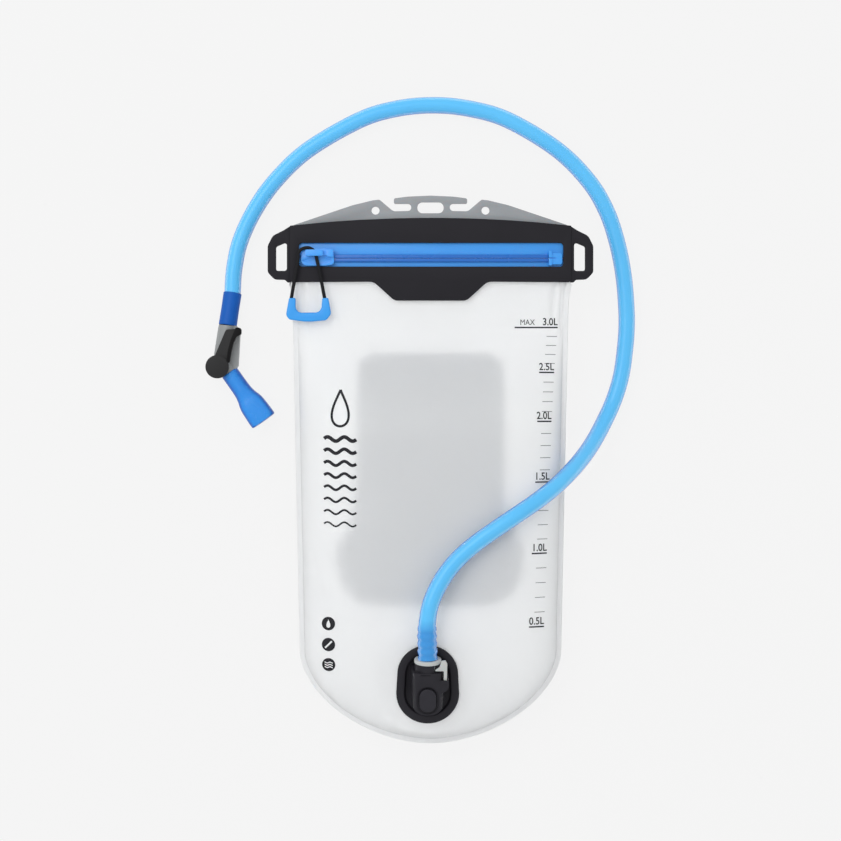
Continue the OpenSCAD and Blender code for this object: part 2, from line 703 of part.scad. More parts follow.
front_film();
rear_film();
back_panel();
zip_band();
left_wing();
right_wing();
hanger();
zip_tape_upper();
zip_tape_lower();
zip_rail_upper();
zip_rail_lower();
zip_end_dock();
zip_start_stop();
slider_body();
slider_bridge();
pull_cord_loop();
pull_cord_legs();
pull_toggle();
port_flange();
port_housing();
port_button();
button_spring();
port_latch();
latch_pin();
hose_plug();
port_o_ring();
port_poppet();
poppet_spring();
hose();
valve_cuff();
valve_body();
valve_rotor();
rotor_o_ring();
valve_lever();
bite_valve();
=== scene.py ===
"""Finished looks of a hydration bladder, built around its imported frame.

Every length is in metres, in the frame's own axes: +Z up through the front film, +Y
towards the hanger, and the origin under the middle of the bag, on the surface it lies on.
"""

import logging
import math
from dataclasses import dataclass, replace
from enum import Enum
from typing import Optional, Sequence

import bmesh
import bpy
import numpy as np
from mathutils import Matrix, Vector, noise
from mathutils.bvhtree import BVHTree


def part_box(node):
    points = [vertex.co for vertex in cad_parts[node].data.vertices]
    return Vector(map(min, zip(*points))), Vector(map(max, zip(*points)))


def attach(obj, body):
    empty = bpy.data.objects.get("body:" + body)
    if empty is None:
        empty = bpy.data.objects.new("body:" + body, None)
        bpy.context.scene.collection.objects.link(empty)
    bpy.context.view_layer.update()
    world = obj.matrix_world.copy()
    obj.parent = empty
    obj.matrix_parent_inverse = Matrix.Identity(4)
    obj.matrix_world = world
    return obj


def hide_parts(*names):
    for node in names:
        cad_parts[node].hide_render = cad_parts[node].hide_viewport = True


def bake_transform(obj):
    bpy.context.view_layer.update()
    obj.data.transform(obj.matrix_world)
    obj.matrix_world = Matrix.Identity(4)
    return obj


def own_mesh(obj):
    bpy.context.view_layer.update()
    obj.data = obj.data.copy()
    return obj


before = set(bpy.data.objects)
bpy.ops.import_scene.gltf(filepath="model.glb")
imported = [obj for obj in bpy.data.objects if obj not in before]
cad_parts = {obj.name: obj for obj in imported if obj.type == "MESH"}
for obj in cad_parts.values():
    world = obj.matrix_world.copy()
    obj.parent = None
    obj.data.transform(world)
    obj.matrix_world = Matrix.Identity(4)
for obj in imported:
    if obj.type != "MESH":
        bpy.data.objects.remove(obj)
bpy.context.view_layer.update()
LOG = logging.getLogger("hydration_bladder")

MM = 0.001
Point = tuple[float, float, float]
Tree, Node, Socket = bpy.types.NodeTree, bpy.types.Node, bpy.types.NodeSocket
Piece = bpy.types.Object


class Body(Enum):
    """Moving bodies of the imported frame."""

    RESERVOIR = "reservoir"
    SLIDER = "slider"
    PULL = "pull"
    BUTTON = "button"
    LATCH = "latch"
    LEVER = "lever"


# ---- Materials -----------------------------------------------------------------------


def linear(code: str) -> tuple[float, float, float, float]:
    """Turns an sRGB hex colour into linear RGBA.

    Args:
        code: Colour such as "#2E2D33".

    Returns:
        Linear red, green, blue, and an alpha of 1.
    """
    parts = [int(code[i:i + 2], 16) / 255 for i in (1, 3, 5)]
    red, green, blue = (c / 12.92 if c <= 0.04045 else ((c + 0.055) / 1.055) ** 2.4 for c in parts)
    return red, green, blue, 1.0


def add_node(tree: Tree, kind: str, inputs: Optional[dict] = None,
             links: Optional[dict] = None, **settings) -> Node:
    """Adds one shader node with its settings and links.

    Args:
        tree: Node tree that receives the node.
        kind: Blender's identifier of the node, without the leading "ShaderNode".
        inputs: Value for each named or numbered input.
        links: Output socket that feeds each named or numbered input.
        settings: Properties of the node itself.

    Returns:
        The new node.
    """
    node = tree.nodes.new("ShaderNode" + kind)
    for key, value in settings.items():
        setattr(node, key, value)
    for key, value in (inputs or {}).items():
        node.inputs[key].default_value = value
    for key, socket in (links or {}).items():
        tree.links.new(socket, node.inputs[key])
    return node


@dataclass(frozen=True)
class Finish:
    """A moulded polymer surface, and the base of every other finish.

    The grain is the fine texture that the mould leaves. The patches are the slow change
    of tone from flow and handling.
    """

    name: str
    colour: str
    patch_colour: str
    roughness: float
    ior: float = 1.5
    roughness_spread: float = 0.08
    patch_size: float = 18 * MM
    grain_size: float = 0.9 * MM
    grain_depth: float = 0.02 * MM
    transmission: float = 0.0
    subsurface: float = 0.0
    metallic: float = 0.0
    alpha: float = 1.0
    coat: float = 0.0

    def material(self) -> bpy.types.Material:
        """Returns the material, built on its first use."""
        found = bpy.data.materials.get(self.name)
        if found:
            return found
        made = bpy.data.materials.new(self.name)
        made.use_nodes = True
        tree = made.node_tree
        shader = tree.nodes["Principled BSDF"]
        fixed = {"Metallic": self.metallic, "Alpha": self.alpha, "Coat Weight": self.coat,
                 "Transmission Weight": self.transmission, "Subsurface Weight": self.subsurface,
                 "Subsurface Scale": 3 * MM}
        if not self.metallic:
            fixed["IOR"] = self.ior
        for key, value in fixed.items():
            shader.inputs[key].default_value = value
        made.diffuse_color = linear(self.colour)
        self.dress(tree, shader, add_node(tree, "TexCoord").outputs["Object"])
        return made

    def dress(self, tree: Tree, shader: Node, place: Socket) -> None:
        """Adds the finish's colour, roughness and relief.

        Args:
            tree: Node tree of the material.
            shader: Its surface shader.
            place: Place on the piece, in metres.
        """
        patches = self.noise(tree, place, self.patch_size, 4.0)
        tree.links.new(self.tone(tree, patches), shader.inputs["Base Color"])
        self.roughen(tree, shader, patches)
        grain = self.noise(tree, place, self.grain_size)
        self.relief(tree, shader, grain, self.grain_depth)

    @staticmethod
    def noise(tree: Tree, place: Socket, size: float, detail: float = 3.0) -> Socket:
        """Adds a noise from 0 to 1, whose features have about one size."""
        return add_node(tree, "TexNoise", {"Scale": 1 / size, "Detail": detail},
                        {"Vector": place}).outputs[0]

    def tone(self, tree: Tree, mask: Socket) -> Socket:
        """Adds the blend from the main colour to the patches' colour by a mask."""
        return add_node(tree, "Mix", {6: linear(self.colour), 7: linear(self.patch_colour)},
                        {0: mask}, data_type="RGBA").outputs[2]

    def roughen(self, tree: Tree, shader: Node, mask: Socket) -> None:
        """Spreads the roughness around its middle by a mask.

        Args:
            tree: Node tree of the material.
            shader: Its surface shader.
            mask: Value from 0 to 1.
        """
        low, high = self.roughness - self.roughness_spread, self.roughness + self.roughness_spread
        spread = add_node(tree, "MapRange", {"To Min": max(low, 0.02), "To Max": min(high, 1.0)},
                          {"Value": mask})
        tree.links.new(spread.outputs[0], shader.inputs["Roughness"])

    def relief(self, tree: Tree, shader: Node, height: Socket,
               depth: float) -> None:
        """Feeds a height pattern to the shader as relief.

        Args:
            tree: Node tree of the material.
            shader: Its surface shader.
            height: Height from 0 to 1.
            depth: Depth of the relief in metres.
        """
        bump = add_node(tree, "Bump", {"Strength": 1.0, "Distance": depth}, {"Height": height})
        tree.links.new(bump.outputs[0], shader.inputs["Normal"])


@dataclass(frozen=True)
class BraidFinish(Finish):
    """Braided polyester cord, whose strands cross at a fixed pitch."""

    strands_round: float = 8.0
    strand_pitch: float = 1.6 * MM

    def dress(self, tree: Tree, shader: Node, place: Socket) -> None:
        """Adds two crossing sets of strands, worked out from the cord's own unwrapping."""
        unwrapped = add_node(tree, "TexCoord").outputs["UV"]
        heights = []
        for hand in (1, -1):
            turned = add_node(tree, "Mapping",
                              {"Scale": (self.strands_round * hand, 1 / self.strand_pitch, 1.0)},
                              {"Vector": unwrapped})
            wave = add_node(tree, "TexWave", {"Scale": 0.5}, {"Vector": turned.outputs[0]},
                            bands_direction="DIAGONAL")
            heights.append(wave.outputs["Fac"])
        crossing = add_node(tree, "Math", {}, {0: heights[0], 1: heights[1]},
                            operation="MAXIMUM").outputs[0]
        tone = add_node(tree, "Mix", {6: linear(self.patch_colour), 7: linear(self.colour)},
                        {0: crossing}, data_type="RGBA").outputs[2]
        tree.links.new(tone, shader.inputs["Base Color"])
        self.roughen(tree, shader, crossing)
        self.relief(tree, shader, crossing, self.grain_depth)


@dataclass(frozen=True)
class WovenFinish(Finish):
    """Plain woven cloth, drawn as coarse as it needs to show."""

    thread: float = 1.2 * MM

    def dress(self, tree: Tree, shader: Node, place: Socket) -> None:
        """Adds warp and weft threads over slow changes of tone."""
        threads = []
        for direction in ("X", "Y"):
            wave = add_node(tree, "TexWave",
                            {"Scale": 0.05 / self.thread, "Distortion": 0.6, "Detail": 1.0},
                            {"Vector": place}, bands_direction=direction)
            threads.append(wave.outputs["Fac"])
        weave = add_node(tree, "Math", {}, {0: threads[0], 1: threads[1]},
                         operation="MULTIPLY").outputs[0]
        patches = self.noise(tree, place, self.patch_size)
        blend = add_node(tree, "Math", {1: 0.6}, {0: patches, 2: weave},
                         operation="MULTIPLY_ADD").outputs[0]
        tree.links.new(self.tone(tree, blend), shader.inputs["Base Color"])
        self.roughen(tree, shader, patches)
        self.relief(tree, shader, weave, self.grain_depth)


@dataclass(frozen=True)
class TubeFinish(Finish):
    """Tinted tube, with a painted highlight where its wall faces up or down and painted shade where the wall
    stands on edge.

    Where a dark fitting fills the bore, the tube takes its deep tone all round.
    """

    # Deep colour: painted shade on the flanks, and the tube's tone all round over the fitting
    painted_flank_shade_and_filled_colour: str = "#1F78D2"
    painted_highlight_start: float = 0.12
    painted_highlight_full: float = 0.8
    filled_below: float = -104 * MM
    filled_fade: float = 9 * MM
    filled_share: float = 0.62

    def dress(self, tree: Tree, shader: Node, place: Socket) -> None:
        """Blends the painted highlight on the crown into the painted shade on the flanks, by the tilt of the
        wall.
        """
        outward = add_node(tree, "TexCoord").outputs["Normal"]
        facing = add_node(tree, "SeparateXYZ", {}, {0: outward}).outputs["Z"]
        upright = add_node(tree, "Math", {}, {0: facing}, operation="ABSOLUTE").outputs[0]
        # crown is the painted highlight: full where the wall faces up or down, none where it stands on edge
        crown = add_node(tree, "MapRange",
                         {"From Min": self.painted_highlight_start, "From Max": self.painted_highlight_full},
                         {"Value": upright}, interpolation_type="SMOOTHSTEP").outputs[0]
        patches = self.noise(tree, place, self.patch_size)
        pale = self.tone(tree, patches)
        along = add_node(tree, "SeparateXYZ", {}, {0: place}).outputs["Y"]
        clear = add_node(tree, "MapRange", {"From Min": self.filled_below - self.filled_fade,
                                            "From Max": self.filled_below,
                                            "To Min": 1 - self.filled_share}, {"Value": along}).outputs[0]
        painted_highlight_share = add_node(tree, "Math", {}, {0: crown, 1: clear}, operation="MULTIPLY").outputs[0]
        # Pale tone as painted highlight on the crown, deep tone as painted shade on the flanks
        tone = add_node(tree, "Mix", {6: linear(self.painted_flank_shade_and_filled_colour)}, {0: painted_highlight_share, 7: pale},
                        data_type="RGBA").outputs[2]
        tree.links.new(tone, shader.inputs["Base Color"])
        self.roughen(tree, shader, patches)
        self.relief(tree, shader, patches, self.grain_depth)


# Matte urethane film: light passes, but every edge behind it turns soft
FILM = Finish("frosted_urethane_film", "#FDFEFE", "#F9FAFB", 0.42, ior=1.25, transmission=0.6,
              roughness_spread=0.03, patch_size=60 * MM, grain_size=1.6 * MM, grain_depth=0.012 * MM)
# The same film at the back: it lies on the light floor, and passes nearly all its light on
REAR_FILM = replace(FILM, name="frosted_urethane_rear_film", colour="#FEFEFF",
                    patch_colour="#FBFCFD", ior=1.2, transmission=0.88)
# Soft quilted cloth with an even, dusty grey
PANEL = WovenFinish("grey_quilted_lining", "#7F8691", "#9299A4", 0.9, roughness_spread=0.04,
                    patch_size=26 * MM, grain_depth=0.12 * MM)
# Injection-moulded soft urethane with a spark-eroded matte skin
BAND = Finish("matte_moulded_urethane_black", "#1B1A1F", "#232227", 0.62, ior=1.26, patch_size=30 * MM,
              grain_size=1.1 * MM, grain_depth=0.03 * MM)
# Cloudy grey urethane sheet, die-cut, a little see-through at its edges
HANGER = Finish("cloudy_urethane_sheet_grey", "#84888C", "#94989C", 0.48, subsurface=0.15,
                patch_size=22 * MM, grain_size=0.8 * MM, grain_depth=0.015 * MM)
# Extruded zip profile: clean saturated blue with an oily sheen
ZIP = Finish("extruded_zip_profile_blue", "#3C9AEA", "#308EDF", 0.34, ior=1.49, subsurface=0.1,
             patch_size=35 * MM, grain_depth=0.008 * MM)
# The rails are the same extrusion, coloured a deeper blue as painted shade for the dark lines along the zip's
# lips
PAINTED_SHADE_RAIL = Finish("extruded_zip_rail_painted_shade_blue", "#1868C0", "#145FB2", 0.28, ior=1.49, subsurface=0.08,
              patch_size=30 * MM, grain_depth=0.006 * MM)
# Acetal slider: pale blue, slippery and slightly waxy
SLIDER = Finish("acetal_slider_blue", "#459FEF", "#3893E6", 0.3, ior=1.48, subsurface=0.2,
                patch_size=9 * MM, grain_depth=0.006 * MM)
# Tightly braided polyester
CORD = BraidFinish("braided_polyester_black", "#1C1C1F", "#0A0A0B", 0.75, ior=1.3, grain_depth=0.12 * MM)
# Moulded nylon pull
TOGGLE = Finish("moulded_nylon_blue", "#2F9BEA", "#258EDD", 0.42, patch_size=12 * MM,
                grain_depth=0.012 * MM)
# Glass-filled nylon, dark and matte, with faint flow marks
PORT = Finish("glass_filled_nylon_black", "#1D1C21", "#27262C", 0.5, ior=1.29, patch_size=9 * MM,
              grain_size=0.7 * MM, grain_depth=0.02 * MM)
# The same nylon, polished by thumbs
BUTTON = Finish("worn_nylon_button_black", "#212026", "#2B2A31", 0.42, ior=1.31, patch_size=6 * MM,
                grain_size=0.6 * MM, grain_depth=0.012 * MM)
# Acetal fittings: warm light grey, semi-gloss
FITTING = Finish("acetal_fitting_grey", "#AEB2B1", "#BBBFBE", 0.35, ior=1.48, subsurface=0.08,
                 patch_size=6 * MM, grain_depth=0.008 * MM)
# Drawn stainless wire
STEEL = Finish("drawn_stainless_wire", "#C2C4C6", "#A9ABAE", 0.28, metallic=1.0,
               patch_size=3 * MM, grain_size=0.4 * MM, grain_depth=0.004 * MM)
# Moulded nitrile seal
SEAL = Finish("moulded_nitrile_black", "#151516", "#1E1E20", 0.45, patch_size=4 * MM,
              grain_depth=0.006 * MM)
# Clear blue urethane tube, with a painted highlight along its crown and painted shade at its edges
HOSE = TubeFinish("clear_blue_urethane_tube", "#66CCFF", "#5CC2FC", 0.24, ior=1.36, transmission=0.18,
                  roughness_spread=0.04, patch_size=40 * MM, grain_depth=0.01 * MM,
                  painted_flank_shade_and_filled_colour="#1F78D2")
# Opaque moulded rubber sleeve
CUFF = Finish("moulded_rubber_sleeve_blue", "#0650A6", "#0B5AB2", 0.5, ior=1.3, patch_size=10 * MM,
              grain_depth=0.012 * MM)
# Painted-look ABS valve body
VALVE = Finish("moulded_abs_grey", "#848788", "#8F9293", 0.42, patch_size=8 * MM,
               grain_size=0.6 * MM, grain_depth=0.015 * MM)
# Moulded lever, dark grey and satin
LEVER = Finish("moulded_lever_charcoal", "#1B1B1C", "#252526", 0.5, ior=1.3, patch_size=7 * MM,
               grain_size=0.6 * MM, grain_depth=0.02 * MM)
# The lever's raised finger rib, over-moulded in a softer, darker rubber
RIB = Finish("overmoulded_rib_black", "#070708", "#0D0D0E", 0.55, ior=1.22, patch_size=5 * MM,
             grain_depth=0.01 * MM)
# Liquid silicone mouthpiece: milky blue, with a painted highlight on its flat faces and painted shade at its
# sides
BITE = TubeFinish("moulded_silicone_blue", "#2F8EE2", "#2682D6", 0.28, ior=1.4, subsurface=0.1,
                  patch_size=12 * MM, grain_depth=0.008 * MM, painted_flank_shade_and_filled_colour="#0D56B4",
                  painted_highlight_start=0.45, painted_highlight_full=1.0)
# Screen-printed ink, thin and dense
INK = Finish("screen_print_ink_charcoal", "#1C1C20", "#2A2A2E", 0.7, ior=1.3, patch_size=4 * MM,
             grain_size=0.5 * MM, grain_depth=0.004 * MM)


# ---- Shapes --------------------------------------------------------------------------


def ease(value: np.ndarray) -> np.ndarray:
    """Smooth step from 0 to 1, held outside that range."""
    held = np.clip(value, 0, 1)
    return held * held * (3 - 2 * held)


def mesh_piece(name: str, points: Sequence, faces: Sequence) -> Piece:
    """Makes an object from points and faces, smooth shaded.

    Args:
        name: Name of the piece.
        points: Corners, in metres.
        faces: Lists of corner numbers.

    Returns:
        The new object, linked to the scene.
    """
    mesh = bpy.data.meshes.new(name)
    mesh.from_pydata([tuple(map(float, p)) for p in points], [], [tuple(map(int, f)) for f in faces])
    mesh.validate()
    mesh.update()
    mesh.shade_smooth()
    piece = bpy.data.objects.new(name, mesh)
    bpy.context.scene.collection.objects.link(piece)
    return piece


def distances(line: np.ndarray) -> np.ndarray:
    """Distance along a line at each of its points."""
    return np.concatenate([[0], np.cumsum(np.linalg.norm(np.diff(line, axis=0), axis=1))])


def bake_modifiers(piece: Piece) -> Piece:
    """Turns a piece and its modifiers into a plain mesh."""
    evaluated = piece.evaluated_get(bpy.context.evaluated_depsgraph_get())
    mesh = bpy.data.meshes.new_from_object(evaluated)
    piece.modifiers.clear()
    piece.data = mesh
    return piece


def thicken(piece: Piece, thickness: float) -> None:
    """Turns a surface into a closed skin, grown inward."""
    skin = piece.modifiers.new("thickness", "SOLIDIFY")
    skin.thickness = thickness
    skin.offset = -1
    bake_modifiers(piece)


def sharpen(piece: Piece, degrees: float) -> Piece:
    """Shades a piece smooth, with edges past an angle kept crisp."""
    piece.data.shade_smooth()
    piece.data.set_sharp_from_angle(angle=math.radians(degrees))
    return piece


def softened(node: str, name: str, radius: float, segments: int = 3) -> Piece:
    """Copies a CAD node with its edges rounded as a mould leaves them.

    Args:
        node: CAD node to copy.
        name: Name of the new piece.
        radius: Radius of the rounded edges.
        segments: Steps across each rounded edge.

    Returns:
        The new piece, which stands for the node.
    """
    piece = bpy.data.objects.new(name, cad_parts[node].data.copy())
    piece.data.materials.clear()
    bpy.context.scene.collection.objects.link(piece)
    weld = piece.modifiers.new("weld", "WELD")
    weld.merge_threshold = 0.002 * MM
    flat = piece.modifiers.new("flat", "DECIMATE")
    flat.decimate_type = "DISSOLVE"
    flat.angle_limit = math.radians(1.5)
    bevel = piece.modifiers.new("edges", "BEVEL")
    bevel.width = radius
    bevel.segments = segments
    bevel.limit_method = "ANGLE"
    bevel.angle_limit = math.radians(38)
    bevel.miter_outer = "MITER_ARC"
    normals = piece.modifiers.new("normals", "WEIGHTED_NORMAL")
    normals.keep_sharp = True
    bake_modifiers(piece)
    sharpen(piece, 40)
    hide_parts(node)
    return piece


def smooth_route(points: Sequence[Point], step: float) -> np.ndarray:
    """Catmull-Rom curve through points, resampled at even steps.

    Args:
        points: Points that the curve passes through.
        step: Distance between samples.

    Returns:
        Samples along the curve, one a row.
    """
    p = np.array(points, float)
    ends = np.vstack([p[:1], p, p[-1:]])
    t = np.linspace(0, 1, 12, endpoint=False)[:, None]
    spans = []
    for i in range(len(p) - 1):
        a, b, c, d = ends[i:i + 4]
        spans.append(0.5 * (2 * b + (c - a) * t + (2 * a - 5 * b + 4 * c - d) * t ** 2
                            + (3 * b - a - 3 * c + d) * t ** 3))
    fine = np.vstack(spans + [p[-1:]])
    along = distances(fine)
    count = max(int(round(along[-1] / step)), 2)
    even = np.linspace(0, along[-1], count + 1)
    return np.column_stack([np.interp(even, along, fine[:, k]) for k in range(3)])


def ring_frames(route: np.ndarray) -> tuple[np.ndarray, np.ndarray]:
    """Side and upward directions along a route that don't twist around it.

    Args:
        route: Samples along the route.

    Returns:
        Two unit directions square to the route, at each sample.
    """
    tangent = np.gradient(route, axis=0)
    tangent /= np.linalg.norm(tangent, axis=1)[:, None]
    start = np.array([0.0, 0.0, 1.0]) if abs(tangent[0, 2]) < 0.9 else np.array([1.0, 0.0, 0.0])
    side = np.cross(tangent[0], start)
    sides = []
    for t in tangent:
        side = side - t * np.dot(side, t)
        side /= np.linalg.norm(side)
        sides.append(side)
    side = np.array(sides)
    return side, np.cross(side, tangent)


def tube(name: str, route: np.ndarray, radius: Sequence[float], sides: int,
         bore: Optional[Sequence[float]] = None) -> Piece:
    """Round tube or rod along a route, unwrapped around and along.

    Args:
        name: Name of the piece.
        route: Samples along its centre line.
        radius: Outer radius at each sample.
        sides: Corners of each ring.
        bore: Inner radius at each sample, or nothing for a solid rod.

    Returns:
        The closed tube.
    """
    side, up = ring_frames(route)
    turn = np.linspace(0, 2 * math.pi, sides, endpoint=False)

    def rings(radii: Sequence[float]) -> np.ndarray:
        spoke = (np.cos(turn)[None, :, None] * side[:, None] + np.sin(turn)[None, :, None] * up[:, None])
        return route[:, None] + np.asarray(radii, float)[:, None, None] * spoke

    count = len(route)
    walls = [rings(radius)]
    if bore is not None:
        walls.append(rings(bore)[::-1])
    points = np.vstack([w.reshape(-1, 3) for w in walls])
    total = count * len(walls)
    loops = total if bore is not None else count - 1
    faces = []
    for i in range(loops):
        a, b = i * sides, (i + 1) % total * sides
        faces += [(a + k, a + (k + 1) % sides, b + (k + 1) % sides, b + k) for k in range(sides)]
    if bore is None:
        faces += [tuple(range(sides - 1, -1, -1)), tuple(range((count - 1) * sides, count * sides))]
    piece = mesh_piece(name, points, faces)
    along = distances(route)
    layer = piece.data.uv_layers.new(name="unwrap")
    for face in piece.data.polygons:
        for loop in face.loop_indices:
            corner = piece.data.loops[loop].vertex_index
            ring = min(corner // sides, total - 1)
            ring = ring if ring < count else total - 1 - ring
            layer.data[loop].uv = (corner % sides / sides, along[ring])
    return sharpen(piece, 50)


def lathe(name: str, profile: Sequence[tuple[float, float]], start: Vector, axis: Vector,
          sides: int = 64, squash_z: float = 0.0) -> Piece:
    """Turns a closed profile around an axis.

    Args:
        name: Name of the piece.
        profile: Pairs of distance along the axis and radius, from the outside round to the inside.
        start: Where the distance is 0.
        axis: Direction of the axis.
        sides: Corners of each ring.
        squash_z: Half height past which the piece is pressed flat, or 0 for a round one.

    Returns:
        The turned piece.
    """
    axis = axis.normalized()
    side = axis.orthogonal().normalized()
    up = axis.cross(side)
    points = []
    for along, r in profile:
        for k in range(sides):
            turn = 2 * math.pi * k / sides
            spoke = side * math.cos(turn) * r + up * math.sin(turn) * r
            if squash_z and r > squash_z * 0.9:
                spoke.z = squash_z * math.tanh(spoke.z / squash_z * 1.25)
            points.append(start + axis * along + spoke)
    n = len(profile)
    faces = []
    for i in range(n):
        a, b = i * sides, (i + 1) % n * sides
        faces += [(a + k, b + k, b + (k + 1) % sides, a + (k + 1) % sides) for k in range(sides)]
    return sharpen(mesh_piece(name, points, faces), 50)


def finish_piece(piece: Piece, body: Body, finish: Finish) -> Piece:
    """Gives a piece its material and the body that it moves with.

    Args:
        piece: The piece.
        body: Body that carries it.
        finish: Its finish.

    Returns:
        The same piece.
    """
    piece.data.materials.clear()
    piece.data.materials.append(finish.material())
    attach(piece, body.value)
    LOG.info("%s rides on %s, finished in %s", piece.name, body.value, finish.name)
    return piece


def dress_node(node: str, finish: Finish) -> None:
    """Gives a CAD node that is shown as it is a better material."""
    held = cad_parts[node]
    held.data.materials.clear()
    held.data.materials.append(finish.material())
    LOG.info("%s kept, finished in %s", node, finish.name)


# ---- Studio --------------------------------------------------------------------------


@dataclass
class Studio:
    """Camera straight above, a plain pale floor and soft light."""

    camera_place: Point = (-0.0072, 0.0351, 1.526)
    lens_mm: float = 89.2
    sensor_mm: float = 36.0
    floor_half: float = 3.0
    floor_drop: float = 0.0002
    sky: str = "#F5F5F5"
    sky_strength: float = 0.92
    floor: str = "#3A3A3A"
    floor_glow: float = 0.865
    softbox_size: float = 1.1
    softbox_place: Point = (-0.75, 0.7, 1.5)
    softbox_power: float = 12.0

    def build(self) -> None:
        """Sets up the camera, the floor and the lights."""
        scene = bpy.context.scene
        lens = bpy.data.cameras.new("camera")
        lens.lens = self.lens_mm
        lens.sensor_width = self.sensor_mm
        lens.clip_start = 0.01
        camera = bpy.data.objects.new("camera", lens)
        camera.location = self.camera_place
        scene.collection.objects.link(camera)
        scene.camera = camera
        scene.view_settings.view_transform = "Standard"
        self.lay_floor()
        self.light(scene)

    def lay_floor(self) -> None:
        """Lays a light table as the floor, so that shadows stay faint."""
        h = self.floor_half
        floor = mesh_piece("floor", [(-h, -h, -self.floor_drop), (h, -h, -self.floor_drop),
                                     (h, h, -self.floor_drop), (-h, h, -self.floor_drop)], [(0, 1, 2, 3)])
        paint = bpy.data.materials.new("opal_light_table")
        paint.use_nodes = True
        shader = paint.node_tree.nodes["Principled BSDF"]
        shader.inputs["Base Color"].default_value = linear(self.floor)
        shader.inputs["Roughness"].default_value = 1.0
        shader.inputs["Specular IOR Level"].default_value = 0.0
        shader.inputs["Emission Color"].default_value = (1, 1, 1, 1)
        shader.inputs["Emission Strength"].default_value = self.floor_glow
        floor.data.materials.append(paint)

    def light(self, scene: bpy.types.Scene) -> None:
        """Lights the scene with an even pale sky and one large softbox."""
        world = bpy.data.worlds.new("pale_sky")
        world.use_nodes = True
        sky = world.node_tree.nodes["Background"]
        sky.inputs["Color"].default_value = linear(self.sky)
        sky.inputs["Strength"].default_value = self.sky_strength
        scene.world = world
        box = bpy.data.lights.new("softbox", "AREA")
        box.size = self.softbox_size
        box.energy = self.softbox_power
        lamp = bpy.data.objects.new("softbox", box)
        lamp.location = self.softbox_place
        lamp.rotation_euler = (-Vector(self.softbox_place)).to_track_quat("-Z", "Y").to_euler()
        scene.collection.objects.link(lamp)


# ---- Hose ----------------------------------------------------------------------------


@dataclass
class Hose:
    """Clear blue tube, stretched over the plug's barb at one end."""

    outer: float = 6 * MM
    bore: float = 4 * MM
    barb_swell: float = 0.75 * MM
    barb_reach: float = 24 * MM
    ridge_pitch: float = 5.5 * MM
    ridge_height: float = 0.36 * MM
    ridges_end: float = 26 * MM
    step: float = 1.4 * MM
    sides: int = 40

    # Out of the plug, over the bag, down past its right side and round on the floor
    route_points = (
        (-0.0021, -0.131839, 0.066205), (-0.0023, -0.125, 0.0673), (-0.0026, -0.116, 0.069),
        (-0.0024, -0.106, 0.0702), (-0.0006, -0.095, 0.0704), (0.0036, -0.084, 0.0696),
        (0.010, -0.073, 0.0682), (0.019, -0.062, 0.0668), (0.031, -0.0515, 0.0658),
        (0.045, -0.0415, 0.065), (0.060, -0.0315, 0.063), (0.075, -0.0215, 0.0584),
        (0.089, -0.011, 0.0506), (0.101, 0.0, 0.0406), (0.111, 0.011, 0.030),
        (0.119, 0.022, 0.0206), (0.126, 0.034, 0.013), (0.132, 0.046, 0.0084),
        (0.1365, 0.058, 0.0066), (0.1396, 0.070, 0.0061), (0.1416, 0.084, 0.0061),
        (0.143, 0.100, 0.0061), (0.143, 0.116, 0.0061), (0.141, 0.140, 0.0061),
        (0.1364, 0.164, 0.0061), (0.1284, 0.188, 0.0061), (0.1152, 0.210, 0.0061),
        (0.092, 0.233, 0.0061), (0.057, 0.254, 0.0061), (0.029, 0.2624, 0.0061),
        (0.002, 0.265, 0.0061), (-0.025, 0.2624, 0.0061), (-0.052, 0.254, 0.0061),
        (-0.089, 0.2326, 0.0061), (-0.1126, 0.2104, 0.0061), (-0.1282, 0.1884, 0.0061),
        (-0.1386, 0.166, 0.0061), (-0.143, 0.146, 0.0061), (-0.1442, 0.128, 0.0064))

    def build(self) -> Piece:
        """Sweeps the tube, swollen and ridged over the barb."""
        route = smooth_route(self.route_points, self.step)
        along = np.linspace(0, distances(route)[-1], len(route))
        on_barb = 1 - ease((along - self.barb_reach * 0.72) / (self.barb_reach * 0.5))
        ridges = self.ridge_height * np.cos(2 * math.pi * along / self.ridge_pitch)
        outer = self.outer + on_barb * (self.barb_swell + ridges * (1 - ease((along - self.ridges_end) / MM)))
        bore = self.bore + on_barb * self.barb_swell
        piece = tube("hose_tube", route, outer, self.sides, bore)
        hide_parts("hose")
        finish_piece(piece, Body.RESERVOIR, HOSE)
        self.piece = piece
        self.route = route
        return piece


# ---- Bag -----------------------------------------------------------------------------


